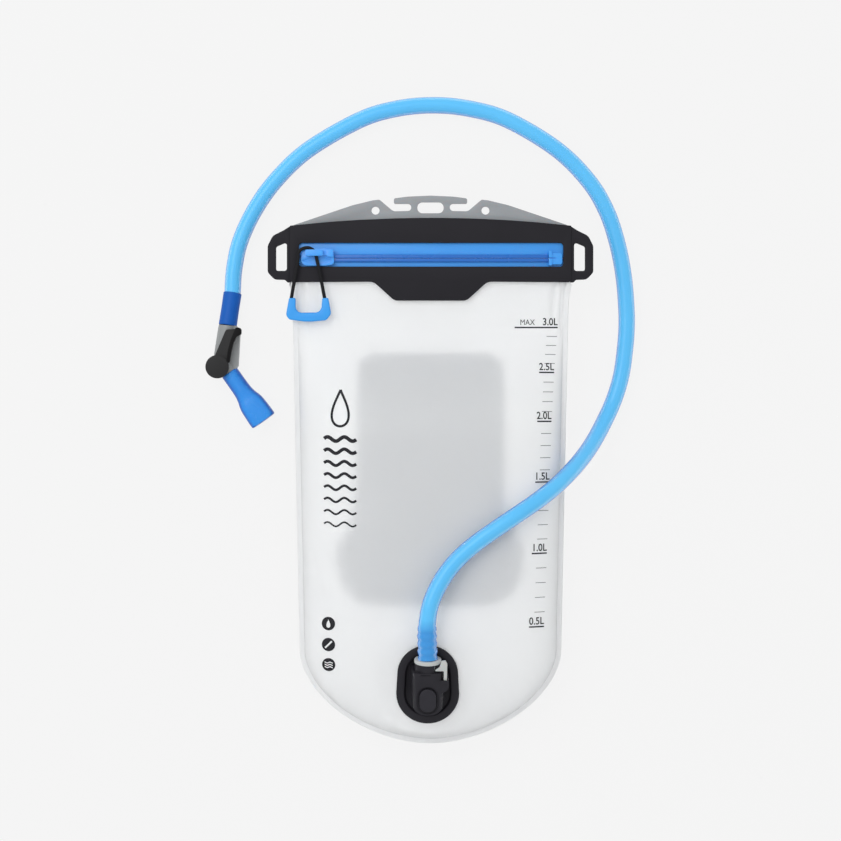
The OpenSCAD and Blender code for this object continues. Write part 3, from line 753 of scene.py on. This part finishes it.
@dataclass
class Bag:
    """Two films welded round their edge, and a grey lining panel."""

    top_half: float = 100.3 * MM
    low_half: float = 94 * MM
    top_y: float = 174 * MM
    round_y: float = -130 * MM
    bottom_y: float = -197.1 * MM
    bottom_power: float = 1.8
    weld: float = 3.5 * MM
    seam_z: float = 26 * MM
    film: float = 0.8 * MM
    rise: float = 32 * MM
    sink: float = 27 * MM
    centre: tuple[float, float] = (0.0, -20 * MM)
    port: tuple[float, float] = (-2.1 * MM, -151 * MM)
    port_straight: float = 7 * MM
    port_hole: float = 19 * MM
    port_z: float = 51.5 * MM
    port_tilt: float = math.radians(12)
    mouth_half: float = 90 * MM
    mouth_y: tuple[float, float] = (147 * MM, 160.5 * MM)
    around: int = 384
    rings: int = 72
    weld_rings: int = 5
    panel_sheet: float = 0.8 * MM
    panel_crown: float = 2.4 * MM

    # Folds under the band in millimetres: X at the top, lean, depth and width
    folds = ((89.5, 0.08, 1.7, 2.0), (94, 0.02, 1.6, 1.1), (-91, -0.08, 1.0, 1.8))
    # Lining panel in millimetres: its half width at four heights, its round corners, its seams
    panel_heights = (-100, -60, -34, 84)
    panel_halves = (62, 69, 55, 53)
    panel_corners = ((84, 14), (-100, 22))
    quilt_seams = (34, -8, -52)

    def outline(self, inset: float) -> np.ndarray:
        """Edge of the bag, pulled in by an inset, sampled at even steps.

        Args:
            inset: Distance in from the cut edge.

        Returns:
            Points in plan, one a row, running clockwise from the top right corner.
        """
        top = np.array([self.top_half - inset, self.top_y - inset])
        low = np.array([self.low_half - inset, self.round_y])
        drop = self.round_y - self.bottom_y - inset
        turn = np.linspace(0, math.pi, 241)
        power = 2 / self.bottom_power
        x = low[0] * np.sign(np.cos(turn)) * np.abs(np.cos(turn)) ** power
        y = self.round_y - drop * np.abs(np.sin(turn)) ** power
        line = np.vstack([top, np.column_stack([x, y]), [-top[0], top[1]], top])
        along = distances(line)
        share = np.linspace(0, 1, self.around, endpoint=False)
        return np.column_stack([np.interp(share * along[-1], along, line[:, k]) for k in range(2)])

    def front_height(self, xy: np.ndarray, s: float) -> np.ndarray:
        """Rise of the front film above the seam, flattened under the port.

        Args:
            xy: Places in plan.
            s: Share of the way from the middle to the weld.

        Returns:
            Height at each place.
        """
        dome = self.rise * math.sqrt(max(1 - s ** 4, 0)) * ease((110 * MM - xy[:, 1]) / (88 * MM))
        seat = (self.port_z - 1.4 * MM - self.film - self.seam_z
                + (xy[:, 1] - self.port[1]) * math.tan(self.port_tilt))
        held = np.clip(xy[:, 1], self.port[1] - self.port_straight, self.port[1] + self.port_straight)
        gap = np.hypot(xy[:, 0] - self.port[0], xy[:, 1] - held)
        share = (1 - ease((gap - 27 * MM) / (15 * MM))) * ease(np.array((1 - s) * 25))
        return dome + (seat - dome) * share

    def rear_depth(self, xy: np.ndarray, s: float) -> np.ndarray:
        """Depth of the rear film below the seam, flat where it lies on the floor.

        Args:
            xy: Places in plan.
            s: Share of the way from the middle to the weld.

        Returns:
            Depth at each place.
        """
        full = 0.6 + 0.4 * ease((150 * MM - xy[:, 1]) / (90 * MM))
        return np.minimum(self.sink * math.sqrt(max(1 - s ** 8, 0)) * full, self.seam_z - self.film)

    def puckers(self, xy: np.ndarray, from_weld: np.ndarray, side: int) -> np.ndarray:
        """Small folds that run in from the weld, and slow waves over the film.

        Args:
            xy: Places in plan.
            from_weld: Distance from each place to the weld.
            side: 1 for the front film, -1 for the rear film.

        Returns:
            Outward offset at each place.
        """
        offset = np.empty(len(xy))
        for i, (x, y) in enumerate(xy):
            turn = math.atan2(y + 60 * MM, x)
            fold = noise.noise(Vector((turn * 26, 3.1 * side, 0))) * 0.7
            fold += noise.noise(Vector((turn * 61, 9.7 * side, 0))) * 0.5
            lower = float(ease(np.array((-90 * MM - y) / (70 * MM))))
            reach = (5 + 9 * lower) * MM
            near = math.exp(-from_weld[i] / reach) * (1 - math.exp(-from_weld[i] / (1.6 * MM)))
            slow = noise.noise(Vector((x * 17, y * 11, 5.0 * side)))
            offset[i] = (0.55 + 1.5 * lower) * MM * fold * near
            offset[i] += 0.5 * MM * slow * min(from_weld[i] / (25 * MM), 1)
        return offset

    def side_folds(self, xy: np.ndarray) -> np.ndarray:
        """Soft folds that hang from the band's ends, deepest on the right."""
        x, y = xy[:, 0] / MM, xy[:, 1] / MM
        total = np.zeros(len(xy))
        for at, lean, depth, width in self.folds:
            line = at + lean * (y - 134)
            fade = ease((y - 84) / 40) * (1 - ease((y - 150) / 15))
            total -= depth * MM * np.exp(-((x - line) / width) ** 2) * fade
        return total

    def flare(self, xy: np.ndarray) -> np.ndarray:
        """Widens the bag under the ends of the band, where the welds pull the films out."""
        y = xy[:, 1] / MM
        spread = 2.6 * MM * np.exp(-np.clip(133.5 - y, 0, None) / 6) * (1 - ease((y - 133.5) / 2.5))
        moved = xy.copy()
        moved[:, 0] += np.sign(xy[:, 0]) * spread * ease((np.abs(xy[:, 0]) / MM - 82) / 17)
        return moved

    def film_points(self, side: int) -> tuple[np.ndarray, np.ndarray, np.ndarray]:
        """Rings of points over one film, from the cut edge to the middle.

        Args:
            side: 1 for the front film, -1 for the rear film.

        Returns:
            Points ring by ring, with the middle last.
        """
        rows = []
        z0 = self.seam_z + side * self.film
        for k in range(self.weld_rings):
            share = k / self.weld_rings
            xy = self.outline(self.weld * share)
            bead = 0.16 * MM * math.exp(-((share - 0.82) / 0.16) ** 2)
            press = 0.12 * MM * math.sin(math.pi * share)
            rows.append(np.column_stack([self.flare(xy), np.full(len(xy), z0 + side * (bead - press))]))
        edge = self.outline(self.weld)
        middle = np.array(self.centre)
        for k in range(self.rings, 0, -1):
            s = math.sin(math.pi / 2 * k / self.rings)
            xy = middle + s * (edge - middle)
            height = self.front_height(xy, s) if side > 0 else self.rear_depth(xy, s)
            from_weld = np.linalg.norm(edge - xy, axis=1)
            extra = self.puckers(xy, from_weld, side)
            if side > 0:
                extra += self.side_folds(xy)
                gap = np.hypot(xy[:, 0] - self.port[0], xy[:, 1] - self.port[1])
                extra *= ease((gap - 20 * MM) / (16 * MM))
                extra = np.where(xy[:, 1] > 119 * MM, np.minimum(extra, 0), extra)
            z = z0 + side * (height + extra)
            rows.append(np.column_stack([self.flare(xy), np.maximum(z, 0.02 * MM)]))
        height = (self.front_height(middle[None], 0) if side > 0 else self.rear_depth(middle[None], 0))[0]
        return np.vstack(rows + [[[*middle, max(z0 + side * height, 0.02 * MM)]]])

    def film_piece(self, side: int, name: str, node: str) -> Piece:
        """Builds one film, with the openings that it needs.

        Args:
            side: 1 for the front film, -1 for the rear film.
            name: Name of the piece.
            node: CAD node that it stands for.

        Returns:
            The film as a closed thin skin.
        """
        points = self.film_points(side)
        count = self.weld_rings + self.rings
        n = self.around
        faces = [(i * n + k, i * n + (k + 1) % n, (i + 1) * n + (k + 1) % n, (i + 1) * n + k)
                 for i in range(count - 1) for k in range(n)]
        faces += [((count - 1) * n + k, (count - 1) * n + (k + 1) % n, count * n) for k in range(n)]
        if side > 0:
            faces = [f for f in faces if not self.is_open(points[list(f)].mean(axis=0))]
            faces = [f[::-1] for f in faces]
        piece = mesh_piece(name, points, faces)
        thicken(piece, self.film * 0.97)
        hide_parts(node)
        return finish_piece(piece, Body.RESERVOIR, FILM if side > 0 else REAR_FILM)

    def is_open(self, place: np.ndarray) -> bool:
        """Whether the front film is cut away here, for the zip mouth or the port."""
        x, y = place[0], place[1]
        in_mouth = abs(x) < self.mouth_half and self.mouth_y[0] < y < self.mouth_y[1]
        held = min(max(y, self.port[1] - self.port_straight), self.port[1] + self.port_straight)
        in_port = math.hypot(x - self.port[0], y - held) < self.port_hole
        return in_mouth or in_port

    def build(self) -> None:
        self.front = self.film_piece(1, "front_film_skin", "front_film")
        self.rear = self.film_piece(-1, "rear_film_skin", "rear_film")
        self.line()

    def line(self) -> None:
        """Builds the quilted grey panel that lies against the rear film."""
        low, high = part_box("back_panel")
        across, up = 64, 110
        points = []
        for j in range(up + 1):
            y = low.y + (high.y - low.y) * j / up
            half = self.panel_half(y / MM) * MM
            for i in range(across + 1):
                u = 2 * i / across - 1
                edge = (1 - u ** 8) * min(1, (j + 0.02) / 5, (up - j + 0.02) / 5)
                quilt = min(abs(y / MM - q) for q in self.quilt_seams)
                crown = self.panel_crown * edge * (1 - 0.75 * math.exp(-(quilt / 3.2) ** 2))
                points.append((u * half, y, low.z + 0.4 * MM + crown))
        row = across + 1
        faces = [(j * row + i, j * row + i + 1, (j + 1) * row + i + 1, (j + 1) * row + i)
                 for j in range(up) for i in range(across)]
        piece = mesh_piece("lining_panel", points, faces)
        thicken(piece, self.panel_sheet)
        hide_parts("back_panel")
        finish_piece(piece, Body.RESERVOIR, PANEL)

    def panel_half(self, y: float) -> float:
        """Half width of the lining panel at a height along the bag, both in millimetres."""
        width = np.interp(y, self.panel_heights, self.panel_halves)
        for end, radius in self.panel_corners:
            into = radius - abs(end - y)
            if into > 0:
                width -= radius - math.sqrt(max(radius ** 2 - into ** 2, 0))
        return float(width)


# ---- Printed scale -------------------------------------------------------------------


@dataclass
class ScalePrint:
    """Volume marks printed on the front film, and a plain water graphic."""

    lift: float = 0.09 * MM
    longest_edge: float = 0.9 * MM
    digit_height: float = 5.1 * MM
    line: float = 1.0 * MM
    badge_radius: float = 4.8 * MM
    # Volume in litres, Y of its mark, left end and right end of its mark, in millimetres
    marks = ((3.0, 102.0, 60.5, 91.5), (2.5, 69.5, 77.5, 88.5), (2.0, 34.5, 75.5, 86.0),
             (1.5, -8.5, 74.0, 84.5), (1.0, -59.0, 71.5, 82.5), (0.5, -111.0, 69.5, 80.5))
    minor_between: int = 4
    minor_length: float = 7.5 * MM
    minor_line: float = 0.35 * MM
    digits_above: float = 1.7
    top_word: tuple[float, float, float] = (75 * MM, 103.8 * MM, 4 * MM)
    capital_share: float = 0.7
    squeeze: float = 0.86
    drop_top: tuple[float, float] = (-64 * MM, 57 * MM)
    wave_rows: int = 8
    badge_x: float = -72.4 * MM

    def build(self, film: Piece) -> None:
        """Draws every mark flat, lays it on the film and joins them into one print.

        Args:
            film: The front film that carries the print.
        """
        self.tree = BVHTree.FromObject(film, bpy.context.evaluated_depsgraph_get())
        self.points: list = []
        self.faces: list = []
        for litres, y, x0, x1 in self.marks:
            self.bar(x0 * MM, x1 * MM, y * MM)
            self.write(f"{litres:.1f}L", x1 * MM, (y + self.digits_above) * MM, self.digit_height)
        for upper, lower in zip(self.marks, self.marks[1:]):
            for k in range(1, self.minor_between + 1):
                t = k / (self.minor_between + 1)
                y = (upper[1] + (lower[1] - upper[1]) * t) * MM
                x1 = (upper[3] + (lower[3] - upper[3]) * t) * MM
                self.bar(x1 - self.minor_length, x1, y, self.minor_line)
        self.write("MAX", *self.top_word, weight=0.0)
        self.water_graphic()
        self.badges()
        piece = mesh_piece("volume_print", self.points, self.faces)
        finish_piece(piece, Body.RESERVOIR, INK)

    def lay(self, flat: Sequence[tuple[float, float]], faces: Sequence[Sequence[int]]) -> None:
        """Lays flat artwork on the film from above.

        Args:
            flat: Places in plan.
            faces: Lists of place numbers.
        """
        start = len(self.points)
        for x, y in flat:
            hit = self.tree.ray_cast(Vector((x, y, 0.2)), Vector((0, 0, -1)))
            self.points.append((x, y, hit[0].z + self.lift))
        self.faces += [tuple(start + c for c in f) for f in faces]

    def ribbon(self, line: Sequence[tuple[float, float]], width: float) -> None:
        """Draws an even stroke along a line of places.

        Args:
            line: Places along the stroke.
            width: Width of the stroke.
        """
        p = np.array(line, float)
        t = np.gradient(p, axis=0)
        t /= np.maximum(np.linalg.norm(t, axis=1), 1e-9)[:, None]
        across = np.column_stack([-t[:, 1], t[:, 0]]) * width / 2
        flat = np.vstack([p - across, p + across])
        n = len(p)
        self.lay(flat, [(i, i + 1, n + i + 1, n + i) for i in range(n - 1)])

    def bar(self, x0: float, x1: float, y: float, width: Optional[float] = None) -> None:
        """Draws a straight mark across the bag."""
        self.ribbon([(x, y) for x in np.linspace(x0, x1, 36)], width or self.line)

    def write(self, text: str, right: float, base: float, height: float, weight: float = 0.022) -> None:
        """Writes a few digits that end at a place.

        Args:
            text: What to write.
            right: X of the right end.
            base: Y of the foot of the digits.
            height: Height of a digit.
            weight: Thickening of the strokes, as a share of the height.
        """
        curve = bpy.data.curves.new("digits", "FONT")
        curve.body = text
        curve.size = height / self.capital_share
        curve.offset = weight * height
        curve.space_character = 1.02
        mesh = self.flat_mesh(curve)
        end = max(v.co.x for v in mesh.vertices)
        self.lay([(right + (v.co.x - end) * self.squeeze, base + v.co.y) for v in mesh.vertices],
                 [tuple(f.vertices) for f in mesh.polygons])

    def flat_mesh(self, curve: bpy.types.Curve) -> bpy.types.Mesh:
        """Fills flat artwork, with its long edges cut so that it can follow the film's folds."""
        artwork = bpy.data.objects.new("artwork", curve)
        bpy.context.scene.collection.objects.link(artwork)
        bpy.context.view_layer.update()
        mesh = bpy.data.meshes.new_from_object(artwork)
        bpy.data.objects.remove(artwork)
        work = bmesh.new()
        work.from_mesh(mesh)
        for _ in range(4):
            bmesh.ops.triangulate(work, faces=work.faces)
            long = [e for e in work.edges if e.calc_length() > self.longest_edge]
            bmesh.ops.subdivide_edges(work, edges=long, cuts=1)
        work.to_mesh(mesh)
        work.free()
        return mesh

    def water_graphic(self) -> None:
        """Draws a drop over rows of waves, as a plain sign for water."""
        centre_x, top_y = self.drop_top
        turn = np.linspace(0, 2 * math.pi, 49)
        drop = [(centre_x + 8.5 * MM * math.sin(a) * math.sin(a / 2) ** 1.4,
                 top_y - 13 * MM + 13 * MM * math.cos(a)) for a in turn]
        self.ribbon(drop, 1.7 * MM)
        for k in range(self.wave_rows):
            y = top_y - (35 + 8.6 * k) * MM
            wave = [(centre_x + x, y + 1.5 * MM * math.sin(x / MM * 2 * math.pi / 12))
                    for x in np.linspace(-11.5 * MM, 11.5 * MM, 40)]
            self.ribbon(wave, (2.6 - 0.2 * k) * MM)

    def badges(self) -> None:
        """Draws three solid round badges, each with one plain sign left clear."""
        turn = np.linspace(0, 2 * math.pi, 33)[:-1]
        r = self.badge_radius
        drop = [(0.42 * r * math.sin(t) * math.sin(t / 2) ** 1.3, 0.62 * r * math.cos(t)) for t in turn]
        bar = [(0.5 * r * u - 0.09 * r * v, 0.5 * r * u + 0.09 * r * v)
               for u, v in ((-1, -1), (1, -1), (1, 1), (-1, 1))]
        across = np.linspace(-0.6, 0.6, 17) * r
        waves = []
        for level in (-0.3, 0.05, 0.4):
            crest = [(x, (level + 0.07 * math.sin(7.5 * x / r)) * r) for x in across]
            waves.append(crest + [(x, y - 0.16 * r) for x, y in reversed(crest)])
        for y, signs in ((-108.6, [drop]), (-123.6, [bar]), (-138.2, waves)):
            edge = [(r * math.cos(t), r * math.sin(t)) for t in turn]
            self.stamp(self.badge_x, y * MM, [edge, *signs])

    def stamp(self, x: float, y: float, outlines: Sequence[Sequence[tuple[float, float]]]) -> None:
        """Inks the first outline around a place, and leaves the other outlines clear.

        Args:
            x: X of the middle.
            y: Y of the middle.
            outlines: Closed outlines around the middle.
        """
        curve = bpy.data.curves.new("stamp", "CURVE")
        curve.dimensions = "2D"
        curve.fill_mode = "BOTH"
        for outline in outlines:
            spline = curve.splines.new("POLY")
            spline.points.add(len(outline) - 1)
            for point, (u, v) in zip(spline.points, outline):
                point.co = (u, v, 0, 1)
            spline.use_cyclic_u = True
        mesh = self.flat_mesh(curve)
        self.lay([(x + v.co.x, y + v.co.y) for v in mesh.vertices],
                 [tuple(f.vertices) for f in mesh.polygons])


# ---- Zip mouth -----------------------------------------------------------------------


@dataclass
class ZipMouth:
    """Moulded band with its handles and hanger, and the zip in its window."""

    moulded_edge: float = 0.9 * MM
    sheet_edge: float = 0.55 * MM
    rail_edge: float = 0.3 * MM
    handle_overlap: float = 0.6 * MM

    def build(self) -> None:
        """Rounds and finishes every fixed piece of the mouth."""
        pieces = (("zip_band", "band_moulding", self.moulded_edge, BAND, "band"),
                  ("left_wing", "left_handle", self.moulded_edge, BAND, "band"),
                  ("right_wing", "right_handle", self.moulded_edge, BAND, "band"),
                  ("hanger", "hanger_sheet", self.sheet_edge, HANGER, "hanger"),
                  ("zip_tape_upper", "upper_zip_tape", 0.2 * MM, ZIP, "zip_blue"),
                  ("zip_tape_lower", "lower_zip_tape", 0.2 * MM, ZIP, "zip_blue"),
                  # The rails carry the deeper blue that is painted shade along the lips
                  ("zip_rail_upper", "upper_zip_rail", self.rail_edge, PAINTED_SHADE_RAIL, "zip_blue"),
                  ("zip_rail_lower", "lower_zip_rail", self.rail_edge, PAINTED_SHADE_RAIL, "zip_blue"),
                  ("zip_end_dock", "end_dock", 0.35 * MM, ZIP, "zip_blue"),
                  ("zip_start_stop", "start_stop", 0.25 * MM, ZIP, "zip_blue"))
        for node, name, radius, finish, slot in pieces:
            finish_piece(softened(node, name, radius), Body.RESERVOIR, finish)
        for name, inward in (("left_handle", 1), ("right_handle", -1)):
            bpy.data.objects[name].data.transform(Matrix.Translation((inward * self.handle_overlap, 0, 0)))


# ---- Slider and pull -----------------------------------------------------------------


@dataclass
class ZipPull:
    """Slider with its bridge, and the cord and toggle that pull it."""

    cord: float = 1.25 * MM
    cord_z: float = 33.7 * MM
    knee_y: float = 150.4 * MM
    knee_reach: float = 1.6 * MM
    slope: float = math.radians(2.8)
    step: float = 0.5 * MM

    def build(self) -> None:
        """Builds the slider, its cord and the toggle."""
        finish_piece(softened("slider_body", "slider_shell", 0.4 * MM), Body.SLIDER, SLIDER)
        finish_piece(softened("slider_bridge", "slider_loop", 0.5 * MM), Body.SLIDER, SLIDER)
        finish_piece(softened("pull_toggle", "toggle_bow", 1.2 * MM, 4), Body.PULL, TOGGLE)
        self.string()

    def below_knee(self, x: float, y: float) -> Point:
        """A place on the sloping part of the cord, from its X and its Y, in metres."""
        return x, y, self.cord_z - (self.knee_y - y) * math.tan(self.slope)

    def string(self) -> None:
        """Runs one cord from the toggle through the bridge and back, bending at the knee."""
        z = self.cord_z
        foot = 121.5 * MM
        points = ([self.below_knee(-0.1000, foot), self.below_knee(-0.0973, 0.137),
                   (-0.0948, self.knee_y, z)]
                  + [(x * MM, y * MM, z) for x, y in ((-94.6, 154.6), (-93.2, 157.2), (-90.4, 158.6),
                     (-87, 158.7), (-84.4, 157.3), (-82.6, 155))]
                  + [(-0.0814, self.knee_y, z), self.below_knee(-0.0786, 0.137),
                     self.below_knee(-0.0757, foot)])
        route = smooth_route(points, self.step)
        piece = tube("pull_cord", route, [self.cord] * len(route), 16)
        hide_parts("pull_cord_loop", "pull_cord_legs")
        piece.data.materials.append(CORD.material())
        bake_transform(piece)
        LOG.info("%s bends between the slider and the pull", piece.name)


# ---- Drinking port -------------------------------------------------------------------


@dataclass
class DrinkingPort:
    """Quick-connect port that is welded into the front film, with the hose plug in it."""

    spring_foot: Point = (-0.0021, -0.159763, 0.06579)
    tilt: float = math.radians(12)
    coil_radius: float = 2.7 * MM
    wire: float = 0.3 * MM
    spring_length: float = 4.0 * MM
    turns: float = 4.0
    button_travel: float = 1.6 * MM

    def build(self) -> None:
        """Rounds and finishes the pieces that show, and finishes the ones inside."""
        pieces = (("port_flange", "port_dish", 0.9 * MM, PORT, "port_black", Body.RESERVOIR),
                  ("port_housing", "port_shell", 0.7 * MM, PORT, "port_black", Body.RESERVOIR),
                  ("port_button", "release_button", 0.9 * MM, BUTTON, "port_black", Body.BUTTON),
                  ("port_latch", "hook_latch", 0.35 * MM, FITTING, "fitting_grey", Body.LATCH),
                  ("hose_plug", "plug_collar", 0.5 * MM, FITTING, "fitting_grey", Body.RESERVOIR))
        for node, name, radius, finish, slot, body in pieces:
            finish_piece(softened(node, name, radius), body, finish)
        self.spring()
        dress_node("latch_pin", PORT)
        dress_node("poppet_spring", STEEL)
        dress_node("port_o_ring", SEAL)
        dress_node("port_poppet", FITTING)

    def spring(self) -> None:
        """Winds the button's return spring."""
        up = Vector((0, -math.sin(self.tilt), math.cos(self.tilt)))
        side = Vector((1, 0, 0))
        across = up.cross(side)
        foot = Vector(self.spring_foot)
        rise = self.spring_length - 2 * self.wire
        route = []
        for share in np.linspace(0, 1, int(self.turns * 20) + 1):
            turn = 2 * math.pi * self.turns * share
            route.append(foot + up * (self.wire + rise * share)
                         + (side * math.cos(turn) + across * math.sin(turn)) * self.coil_radius)
        piece = tube("return_spring", np.array(route, float), [self.wire] * len(route), 8)
        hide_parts("button_spring")
        finish_piece(piece, Body.RESERVOIR, STEEL)
        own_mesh(piece)


# ---- Drinking valve ------------------------------------------------------------------


@dataclass
class DrinkingValve:
    """Sleeve, elbow with its shut-off lever, and the bite valve."""

    cuff_start: Point = (-0.1442, 0.128, 0.0064)
    cuff_end: Point = (-0.1476, 0.1042, 0.0085)
    bite_start: Point = (-0.1462, 0.0699, 0.0085)
    bite_end: Point = (-0.1213, 0.0348, 0.0085)
    bore: float = 3.2 * MM
    half_flat: float = 7.6 * MM
    disc_centre: tuple[float, float] = (-0.1544, 0.074)
    disc_radius: float = 8.2 * MM
    arm_top: float = 17.85 * MM

    def build(self) -> list[Piece]:
        """Builds the valve.

        Returns:
            Every piece of it.
        """
        pieces = [self.cuff(), self.bite()]
        pieces.append(finish_piece(softened("valve_body", "elbow_shell", 1.2 * MM), Body.RESERVOIR,
                                   VALVE))
        pieces.append(self.lever())
        dress_node("valve_rotor", FITTING)
        dress_node("rotor_o_ring", SEAL)
        return pieces + [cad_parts["valve_rotor"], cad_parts["rotor_o_ring"]]

    def lever(self) -> Piece:
        """Rounds the lever, and gives its raised rib the darker rubber."""
        piece = finish_piece(softened("valve_lever", "shutoff_lever", 0.9 * MM), Body.LEVER,
                             LEVER)
        piece.data.materials.append(RIB.material())
        disc = Vector(self.disc_centre)
        for face in piece.data.polygons:
            off_disc = (Vector(face.center[:2]) - disc).length > self.disc_radius
            if face.center.z > self.arm_top and off_disc:
                face.material_index = 1
        return piece

    def cuff(self) -> Piece:
        """Turns the sleeve, with rolled ends."""
        start, end = Vector(self.cuff_start), Vector(self.cuff_end)
        size = (end - start).length
        profile = [(0.9 * MM, 6.05 * MM), (0.0, 6.2 * MM), (0.1 * MM, 6.5 * MM), (0.6 * MM, 6.62 * MM),
                   (1.6 * MM, 6.6 * MM), (size * 0.5, 6.5 * MM), (size - 1.4 * MM, 6.62 * MM),
                   (size - 0.4 * MM, 6.6 * MM), (size, 6.3 * MM), (size, 4.2 * MM), (0.9 * MM, 4.2 * MM)]
        piece = lathe("rubber_sleeve", profile, start, end - start)
        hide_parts("valve_cuff")
        return finish_piece(piece, Body.RESERVOIR, CUFF)

    def bite(self) -> Piece:
        """Turns the bite valve: a round neck that flares into a flattened mouth."""
        start, end = Vector(self.bite_start), Vector(self.bite_end)
        size = (end - start).length / MM
        outside = [(0, 6.1), (0.3, 6.45), (1, 6.5), (8, 6.5), (14, 6.55), (18, 6.8), (21.5, 7.5), (24.5, 8.5),
                   (27, 9.15), (30, 9.5), (34, 9.7), (38, 9.85), (size - 1.4, 9.9), (size - 0.5, 9.75),
                   (size - 0.05, 9.2), (size, 8.2)]
        inside = [(size - 0.6, 4.5), (size - 1.5, 2.4), (size - 6, 2.4), (size - 10, 3.2), (0.4, 3.2)]
        profile = [(a * MM, r * MM) for a, r in outside + inside]
        piece = lathe("bite_mouthpiece", profile, start, end - start, 72, self.half_flat)
        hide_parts("bite_valve")
        return finish_piece(piece, Body.RESERVOIR, BITE)


def main() -> None:
    """Builds every sub-assembly in order."""
    logging.basicConfig(level=logging.INFO, format="%(name)s: %(message)s")
    Studio().build()
    hose = Hose()
    hose.build()
    bag = Bag()
    bag.build()
    ScalePrint().build(bag.front)
    ZipMouth().build()
    ZipPull().build()
    DrinkingPort().build()
    DrinkingValve().build()


if __name__ == "__main__":
    main()
